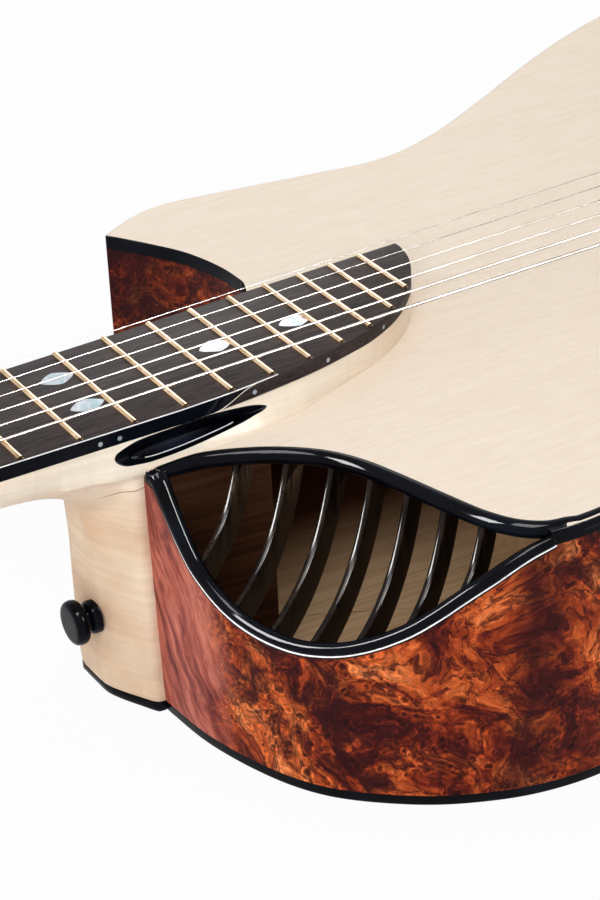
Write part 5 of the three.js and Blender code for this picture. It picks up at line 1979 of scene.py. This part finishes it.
@dataclass
class Stringing:
    """Strings, nut, saddle and bridge."""

    head: HeadForm
    diameters: tuple[float, ...] = (0.28, 0.36, 0.52, 0.7, 0.9, 1.12)
    nut_width: float = 44.5
    nut_spread: float = 37.5
    saddle_spread: float = 54.0
    shift: float = 1.5
    treble_action: float = 2.6
    bass_action: float = 3.8
    nut_action: float = 1.3
    fret_height: float = 1.0
    nut_height: float = 8.2
    bridge_length: float = 168.0
    bridge_width: float = 31.0
    bridge_height: float = 14.5
    bridge_setback: float = 20.0
    bridge_end_width: float = 20.0
    bridge_shoulder_share: float = 0.55
    tie_width: float = 9.0
    tie_height: float = 4.0
    saddle_width: float = 3.0
    saddle_length: float = 74.0
    saddle_seat: float = 3.2
    saddle_steps: int = 40
    post_radius: float = 3.0
    wrap_height: float = 7.0
    ball_radius: float = 1.9
    ball_length: float = 3.0
    wound_from: int = 2
    wrap_steps: int = 60
    wrap_least: float = 0.2
    wrap_share: float = 0.22
    saddle_play: float = 0.4
    groove_play: float = 0.08

    def y_at(self, index: int, x: float) -> float:
        """Returns a string's place across at X."""
        spread = self.nut_spread + (self.saddle_spread - self.nut_spread) * x / SCALE
        return self.shift + (0.5 - index / (len(self.diameters) - 1)) * spread

    def saddle_z(self, index: int) -> float:
        """Returns the height of a string's middle over the saddle."""
        share = index / (len(self.diameters) - 1)
        action = self.treble_action + (self.bass_action - self.treble_action) * share
        rise = (self.fret_height + action - self.nut_action) * SCALE / JOIN_X
        return self.nut_action + rise + self.diameters[index] / 2

    def route(self, index: int) -> list[Vector]:
        """Returns the way of a string from the bridge to its last turn on the post."""
        radius = self.diameters[index] / 2
        x, y, side = self.head.tuner_place(index)
        wrap = self.post_radius + radius + FIT_GAP
        tie = SCALE + self.bridge_setback - self.tie_width / 2
        tie_z = TOP_Z + self.bridge_height + self.tie_height / 2
        nut_z = self.nut_action + radius
        rear = tie + self.tie_width / 2 + self.ball_length
        points = [
            Vector((rear, self.y_at(index, rear), tie_z)),
            Vector((tie - self.tie_width / 2, self.y_at(index, tie), tie_z)),
            Vector((SCALE, self.y_at(index, SCALE), self.saddle_z(index))),
            Vector((0, self.y_at(index, 0), nut_z)),
            Vector((-NUT_LENGTH, self.y_at(index, -NUT_LENGTH), nut_z))]
        for i in range(self.wrap_steps + 1):
            a = math.pi * 5 * i / (4 * self.wrap_steps)
            spot = Vector((x - wrap * math.sin(a), y - side * wrap * math.cos(a),
                           self.wrap_height + i * radius / self.wrap_steps))
            points.append(self.head.matrix @ spot)
        return points

    def strings(self, shop: Workshop, looks: Finishes) -> None:
        """Builds the strings, plain or wound, with their ball ends."""
        for index, diameter in enumerate(self.diameters):
            route = self.route(index)
            if index < self.wound_from:
                shape = tube(route, diameter / 2, 12)
            else:
                shape = wound_tube(route, diameter / 2,
                                   self.wrap_least + self.wrap_share * diameter)
            r = self.ball_radius
            ball = lathe([(0.5, 0), (r, 0.4), (r, 2.6), (0.5, 3)], 20)
            rear = SCALE + self.bridge_setback + FIT_GAP
            z = TOP_Z + self.bridge_height + self.tie_height / 2
            spot = Matrix.Translation((rear, self.y_at(index, rear), z))
            shape = shape.plus(ball.moved(spot @ Matrix.Rotation(math.pi / 2, 4, "Y")))
            wound = index >= self.wound_from
            shop.add(f"string_{index + 1}_{'wound' if wound else 'plain'}", shape,
                     looks.bronze if wound else looks.plain, Slot.BRONZE if wound else Slot.STEEL,
                     f"string_{index + 1}", sharp=70)

    def bridge(self, shop: Workshop, looks: Finishes) -> None:
        """Builds the bridge with its saddle slot."""
        half = self.bridge_length / 2
        front = SCALE - (self.bridge_width - self.bridge_setback)
        rear = SCALE + self.bridge_setback
        middle, wing = (front + rear) / 2, self.bridge_end_width / 2
        shoulder = half * self.bridge_shoulder_share
        deck = [(front, -shoulder), (middle - wing, -half), (middle + wing, -half),
                (rear, -shoulder), (rear, shoulder), (middle + wing, half),
                (middle - wing, half), (front, shoulder)]
        ring = [Vector((x, y + self.shift)) for x, y in deck]
        base = TOP_Z + 0.05
        piece = shop.mesh("bridge_deck", slab(ring, base, TOP_Z + self.bridge_height))
        shop.ease(piece, 2.2, 5)
        seat = TOP_Z + self.bridge_height - self.saddle_seat
        side = self.saddle_length / 2 + FIT_GAP
        slot = oblong(SCALE - self.saddle_width - self.saddle_play, SCALE, self.shift - side,
                      self.shift + side)
        shop.carve(piece, slab(slot, seat, 20))
        shop.dress(piece, looks.ebony, stands_for=["bridge"], sharp=30)
        tie = self.saddle_length / 2
        ring = oblong(rear - self.tie_width, rear, self.shift - tie, self.shift + tie)
        high = TOP_Z + self.bridge_height
        shop.add("bridge_tie_block", slab(ring, high - 1, high + self.tie_height), looks.ebony,
                 Slot.EBONY, ease=(1.0, 4))

    def saddle(self, shop: Workshop, looks: Finishes) -> None:
        """Builds the bone saddle, rounded along its top."""
        last = len(self.diameters) - 1
        low = TOP_Z + self.bridge_height - self.saddle_seat + FIT_GAP
        half = self.saddle_length / 2
        rings = []
        for k in range(self.saddle_steps + 1):
            y = self.shift - half + 2 * half * k / self.saddle_steps
            share = (y - self.y_at(last, SCALE)) / (self.y_at(0, SCALE) - self.y_at(last, SCALE))
            share = min(max(share, 0), 1)
            bass, treble = (self.saddle_z(i) - self.diameters[i] / 2 - 0.02 for i in (last, 0))
            z = bass + (treble - bass) * share
            x, w = SCALE - FIT_GAP, self.saddle_width
            ring = [(x, low), (x, z - 0.8), (x - 0.2, z - 0.2), (x - 0.7, z), (x - 1.6, z - 0.1),
                    (x - 2.5, z - 0.6), (x - w, z - 1.4), (x - w, low)]
            rings.append([Vector((a, y, b)) for a, b in ring])
        shop.add("bone_saddle", skin(rings), looks.bone, Slot.BONE, "saddle")

    def nut(self, shop: Workshop, looks: Finishes) -> None:
        """Builds the bone nut with its six slots."""
        half = self.nut_width / 2
        ring = oblong(-NUT_LENGTH + FIT_GAP, -FIT_GAP, -half, half)
        piece = shop.mesh("bone_nut", slab(ring, WOOD_TOP + 0.1, WOOD_TOP + self.nut_height))
        shop.ease(piece, 0.5, 3)
        for index, diameter in enumerate(self.diameters):
            y = self.y_at(index, -NUT_LENGTH / 2)
            groove = []
            radius = diameter / 2
            wide = radius + self.groove_play
            for k in range(9):
                a = math.pi + math.pi * k / 8
                groove.append((y + wide * math.cos(a),
                               self.nut_action + radius + wide * math.sin(a)))
            groove += [(groove[-1][0] + 0.1, 9.0), (groove[0][0] - 0.1, 9.0)]
            cut = skin([[Vector((x, a, b)) for a, b in groove] for x in (-NUT_LENGTH - 2, 2)])
            shop.carve(piece, cut)
        shop.dress(piece, looks.bone, stands_for=["nut"])

    def build(self, shop: Workshop, looks: Finishes) -> None:
        """Builds the strings and what carries them."""
        self.strings(shop, looks)
        self.bridge(shop, looks)
        self.saddle(shop, looks)
        self.nut(shop, looks)


@dataclass
class Head:
    """Ebony face of the head, the rod cover and the six tuners."""

    form: HeadForm
    plate: float = 2.0
    cover_half: float = 10.0
    cover_length: float = 31.0
    cover_thickness: float = 1.5
    cover_shares: tuple[Pair, ...] = ((0, 0.75), (0.3, 1), (0.62, 0.8), (0.85, 0.3), (1, 0))
    post_radius: float = 3.0
    post_height: float = 12.0
    gear_radius: float = 5.5
    gear_thickness: float = 4.0
    gear_z: float = -18.8
    worm_x: float = -8.0
    worm_radius: float = 2.2
    worm_half: float = 6.0
    shaft_radius: float = 1.8
    knob_offset: float = 31.0
    housing_half: float = 9.0
    housing_round: float = 2.5
    teeth: int = 16
    tooth_depth: float = 0.7
    knob_size: Spot = (9.0, 7.0, 4.5)

    def face(self, shop: Workshop, looks: Finishes) -> None:
        """Builds the ebony face plate."""
        ring = [p for p in self.form.outline() if p.x < -4]
        low = FIT_GAP / 3
        shop.add("head_face_plate", slab(ring, low, low + self.plate).moved(self.form.matrix),
                 looks.ebony, Slot.EBONY, "headplate", ease=(0.6, 3))

    def cover(self, shop: Workshop, looks: Finishes) -> None:
        """Builds the bell-shaped cover over the truss rod's end."""
        start, h, length = -NUT_LENGTH, self.cover_half, self.cover_length
        side = smooth_line([(start - length * along, h * wide)
                            for along, wide in self.cover_shares], 8)
        ring = side + [Vector((p.x, -p.y)) for p in side[:-1]][::-1]
        low = self.plate + FIT_GAP
        shop.add("rod_cover_plate",
                 slab(ring, low, low + self.cover_thickness).moved(self.form.matrix), looks.trim,
                 Slot.EBONY, "truss_rod_cover", ease=(0.5, 3))

    def tuner_matrix(self, index: int) -> Matrix:
        """Returns the frame of one tuner: its post stands on Z and its knob looks along -Y."""
        x, y, side = self.form.tuner_place(index)
        turn = Matrix.Rotation(math.pi if side > 0 else 0.0, 4, "Z")
        return self.form.matrix @ Matrix.Translation((x, y, 0)) @ turn

    def post(self) -> Shape:
        """Returns a post with its gear wheel below."""
        low, r = self.gear_z - self.gear_thickness / 2, self.post_radius
        rings = []
        for z in (low, low + self.gear_thickness):
            ring = []
            for k, (c, s) in enumerate(spokes(self.teeth * 4)):
                tip = self.gear_radius - (0 if k % 4 < 2 else self.tooth_depth)
                ring.append(Vector((tip * c, tip * s, z)))
            rings.append(ring)
        top = self.post_height
        barrel = lathe([(0, low + 1), (r, low + 1), (r, top - 6.4), (r - 0.35, top - 5.6),
                        (r - 0.35, top - 3.4), (r, top - 2.6), (r, top - 0.8),
                        (r - 0.5, top - 0.2), (r - 1.0, top), (0, top)], 32)
        return skin(rings).plus(barrel)

    def bushing(self) -> Shape:
        """Returns the round bush in which a post turns."""
        low = self.plate
        return lathe([(3.2, low), (5.2, low), (5.2, low + 0.9), (4.8, low + 1.4), (3.7, low + 1.7),
                      (3.2, low + 1.5)], 40)

    def housing(self) -> Shape:
        """Returns the open gear box on the back of the head."""
        top = -self.form.thickness
        low = self.gear_z - self.gear_thickness / 2 - 1.5
        rear = self.worm_x - self.worm_radius - 2.2
        front, r = self.gear_radius + 2.2, self.housing_round
        ring = []
        for cx, cy, start in ((front, self.housing_half, 0), (rear, self.housing_half, 1),
                              (rear, -self.housing_half, 2), (front, -self.housing_half, 3)):
            for k in range(5):
                a = math.pi / 2 * (start + k / 4)
                ring.append(Vector((cx - math.copysign(r, cx) + r * math.cos(a),
                                    cy - math.copysign(r, cy) + r * math.sin(a))))
        return slab(ring, low, top)

    def knob(self) -> Shape:
        """Returns a knob with its shaft and worm."""
        worm = wound_tube([Vector((0, -self.worm_half + 0.25 * k, 0)) for k in range(49)],
                          self.worm_radius, 1.5, 16)
        rod = tube([Vector((0, y, 0)) for y in (self.worm_half, 0, -self.knob_offset + 4)],
                   self.shaft_radius * 0.82, 20)
        collar = lathe([(self.shaft_radius * 0.8, 0), (2.6, 0.4), (2.6, 2.2), (1.7, 3.4),
                        (1.6, 5)], 28)
        lay = Matrix.Rotation(math.pi / 2, 4, "X")
        collar = collar.moved(Matrix.Translation((0, -self.knob_offset + 11.4, 0)) @ lay)
        rings = []
        wide, tall, deep = self.knob_size
        for k in range(17):
            a = math.pi * k / 16
            y = -self.knob_offset + tall * math.cos(a)
            r = max(math.sin(a) ** 0.62, 0.02)
            rings.append([Vector((wide * r * c, y, deep * r ** 0.8 * s * (0.82 + 0.18 * s ** 2)))
                          for c, s in spokes(40)])
        return worm.plus(rod).plus(collar).plus(skin(rings))

    def tuners(self, shop: Workshop, looks: Finishes) -> None:
        """Builds the six tuners on their bodies."""
        for i in range(self.form.tuner_count):
            at = self.tuner_matrix(i)
            n = i + 1
            shop.add(f"tuner_{n}_post", self.post().moved(at), looks.steel, Slot.STEEL,
                     f"tuner_post_{n}", body=f"post_{n}")
            shop.add(f"tuner_{n}_bush", self.bushing().moved(at), looks.gold, Slot.GOLD)
            shop.add(f"tuner_{n}_housing", self.housing().moved(at), looks.gold, Slot.GOLD,
                     f"tuner_housing_{n}", ease=(0.7, 3))
            spot = at @ Matrix.Translation((self.worm_x, 0, self.gear_z))
            shop.add(f"tuner_{n}_knob", self.knob().moved(spot), looks.gold, Slot.GOLD,
                     f"tuner_knob_{n}", body=f"knob_{n}")

    def build(self, shop: Workshop, looks: Finishes) -> None:
        """Builds all that the head carries."""
        self.face(shop, looks)
        self.cover(shop, looks)
        self.tuners(shop, looks)


@dataclass
class StrapPins:
    """Strap button on the heel and end pin on the tail."""

    drop: float = 75.3
    half: float = 13.5
    face_x: float = 310.8
    pin_drop: float = 64.0

    def button(self) -> Shape:
        """Returns the turned button, with a seat, a waist and a domed head."""
        profile = [
            (0, 0), (5.3, 0), (5.7, 0.4), (5.75, 1.6), (5.6, 2.6), (5.0, 3.2), (4.2, 3.5),
            (3.9, 4.1), (4.1, 4.6), (5.2, 4.9), (6.6, 5.2), (7.4, 5.9), (7.75, 7.0),
            (7.7, 8.2), (7.3, 9.2), (6.5, 9.8), (5.4, 9.96), (3, 10), (0, 10)]
        rows = smooth_line(profile, 3)
        return lathe([(max(p.x, 0), min(max(p.y, 0), 10)) for p in rows], 56)

    def build(self, shop: Workshop, looks: Finishes) -> None:
        """Builds both pins."""
        at = Matrix.Translation((self.face_x, -self.half, -self.drop))
        at = at @ Matrix.Rotation(-math.pi / 2, 4, "Y")
        shop.add("strap_button_turned", self.button().moved(at), looks.trim, Slot.TRIM,
                 "strap_button", sharp=50)
        at = Matrix.Translation((TAIL_X + FIT_GAP, 0, -self.pin_drop))
        at = at @ Matrix.Rotation(math.pi / 2, 4, "Y")
        shop.add("end_pin_turned", self.button().moved(at), looks.trim, Slot.TRIM, "end_pin",
                 sharp=50)


@dataclass
class Inside:
    """CAD nodes inside the box that keep their solids and get a finish."""

    wooden: tuple[str, ...] = (
        "top_lining", "back_lining", "cross_brace", "bridge_plate", "back_brace_1",
        "back_brace_2")
    blocks: tuple[str, ...] = ("neck_block", "tail_block")
    metal: tuple[str, ...] = ("truss_rod", "truss_rod_nut")

    def build(self, looks: Finishes) -> None:
        """Dresses the nodes."""
        for names, finish in ((self.wooden, looks.inner), (self.blocks, looks.block),
                              (self.metal, looks.steel)):
            for name in names:
                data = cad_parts[name].data
                data.materials.clear()
                data.materials.append(finish)
                log.info("%s: dressed", name)


@dataclass
class Studio:
    """White room: camera, floor, lamps and world."""

    place: Matrix
    eye: Spot = (-5.546, -700.117, 423.542)
    right: Spot = (0.8526963, -0.52078176, -0.04117484)
    up: Spot = (0.29338594, 0.41217395, 0.86257598)
    forward: Spot = (0.43224265, 0.74759547, -0.50424925)
    focal_px: float = 2736.454
    image_height_px: float = 900.0
    sensor_mm: float = 36.0
    floor_half: float = 6.0
    ambient: float = 0.56
    port_lamp: Spot = (392.0, -48.0, -22.0)
    port_aim: Spot = (396.0, -12.0, -104.0)
    clip_end: float = 50.0
    floor_share: float = 0.94
    boxes: tuple[tuple[str, Spot, Spot, Pair, float, bool], ...] = (
        ("key_box", (-0.75, -0.85, 0.72), (0.05, -0.1, 0.06), (0.6, 0.6), 7.5, False),
        ("fill_box", (0.5, 0.4, 1.6), MIDDLE, (1.2, 1.2), 6.5, False),
        ("glint_above", (-0.3, -0.25, 1.25), MIDDLE, (0.5, 0.8), 42, True),
        ("glint_right", (0.5, -0.9, 0.75), MIDDLE, (0.25, 0.5), 45, True),
        ("glint_left", (-0.95, 0.05, 0.7), MIDDLE, (0.3, 0.7), 80, True),
        ("glint_back", (0.62, 1.05, 0.75), MIDDLE, (0.3, 0.5), 2.2, True))

    def camera(self) -> None:
        """Places the camera where the photograph was taken from."""
        data = bpy.data.cameras.new("photo_camera")
        data.sensor_width = self.sensor_mm
        data.lens = self.focal_px / self.image_height_px * self.sensor_mm
        data.clip_end = self.clip_end
        made = bpy.data.objects.new("photo_camera", data)
        bpy.context.scene.collection.objects.link(made)
        turn = self.place.to_3x3()
        columns = [turn @ Vector(v) for v in (self.right, self.up, self.forward)]
        basis = Matrix((columns[0], columns[1], -columns[2])).transposed().to_4x4()
        eye = (self.place @ Vector(self.eye)) * MM
        made.matrix_world = Matrix.Translation(eye) @ basis
        bpy.context.scene.camera = made

    def floor(self) -> None:
        """Lays the white floor, which still takes a faint shadow."""
        half = self.floor_half
        data = bpy.data.meshes.new("studio_floor")
        corners = [(-half, -half, 0), (half, -half, 0), (half, half, 0), (-half, half, 0)]
        data.from_pydata(corners, [], [(0, 1, 2, 3)])
        made = bpy.data.objects.new("studio_floor", data)
        bpy.context.scene.collection.objects.link(made)
        board = Board("floor_white", 0.9)
        board.shader.inputs["Base Color"].default_value = (0.9, 0.9, 0.9, 1)
        board.shader.inputs["Specular IOR Level"].default_value = 0.0
        glow = board.node("ShaderNodeEmission", {"Color": (1, 1, 1, 1), "Strength": 1.0})
        part = board.sum("MULTIPLY", board.seen(), self.floor_share)
        mixed = board.node("ShaderNodeMixShader", {0: part, 1: board.shader.outputs[0],
                                                   2: glow.outputs[0]})
        output = board.tree.nodes["Material Output"]
        board.tree.links.new(mixed.outputs[0], output.inputs[0])
        data.materials.append(board.material)

    def world(self) -> None:
        """Makes the surroundings white to the eye and a plain soft light on the guitar."""
        world = bpy.data.worlds.new("studio_world")
        bpy.context.scene.world = world
        world.use_nodes = True
        nodes = Nodes(world.node_tree)
        strength = nodes.node("ShaderNodeMapRange", {
            "Value": nodes.seen(), "To Min": self.ambient, "To Max": 1.0})
        background = nodes.node("ShaderNodeBackground", {
            "Color": (1, 1, 1, 1), "Strength": strength.outputs[0]})
        nodes.node("ShaderNodeOutputWorld", {0: background.outputs[0]})

    def lamp(self, name: str, spot: Sequence[float], aim: Sequence[float], size: Pair,
             power: float, glint: bool) -> None:
        """Hangs one soft box.

        Args:
            name: the lamp's name.
            spot: its place in metres.
            aim: what it looks at, in metres.
            size: its width and height in metres.
            power: its power in watts.
            glint: whether only glossy surfaces show it, or only matt ones are lit by it.
        """
        data = bpy.data.lights.new(name, "AREA")
        data.shape = "RECTANGLE"
        data.size, data.size_y = size
        data.energy = power
        made = bpy.data.objects.new(name, data)
        bpy.context.scene.collection.objects.link(made)
        made.visible_diffuse, made.visible_glossy = not glint, glint
        way = Vector(aim) - Vector(spot)
        made.matrix_world = (Matrix.Translation(Vector(spot))
                             @ way.to_track_quat("-Z", "Y").to_matrix().to_4x4())

    def lamps(self) -> None:
        """Hangs the soft boxes that light the guitar, and those that its gloss shows."""
        for box in self.boxes:
            self.lamp(*box)
        inside = [(self.place @ Vector(p)) * MM for p in (self.port_lamp, self.port_aim)]
        self.lamp("port_glow", inside[0], inside[1], (0.13, 0.03), 0.03, False)

    def build(self) -> None:
        """Builds the room."""
        bpy.context.scene.view_settings.view_transform = "Standard"
        self.floor()
        self.world()
        self.lamps()


def main() -> None:
    """Builds the guitar and the room round it."""
    logging.basicConfig(level=logging.INFO, format="%(name)s: %(message)s")
    shop = Workshop()
    studio = Studio(shop.place)
    studio.camera()
    looks = Finishes(shop.place)
    form = BodyForm()
    port = PortForm(form)
    board = BoardForm()
    head = HeadForm()
    slot = LeafSlot()
    Neck(form, board, head, slot).build(shop, looks)
    Soundbox(form, port, slot).build(shop, looks)
    SoundPort(port).build(shop, looks)
    slot.build(shop, looks)
    Fretboard(board).build(shop, looks)
    Stringing(head).build(shop, looks)
    Head(head).build(shop, looks)
    StrapPins().build(shop, looks)
    Inside().build(looks)
    studio.build()


if __name__ == "__main__":
    main()
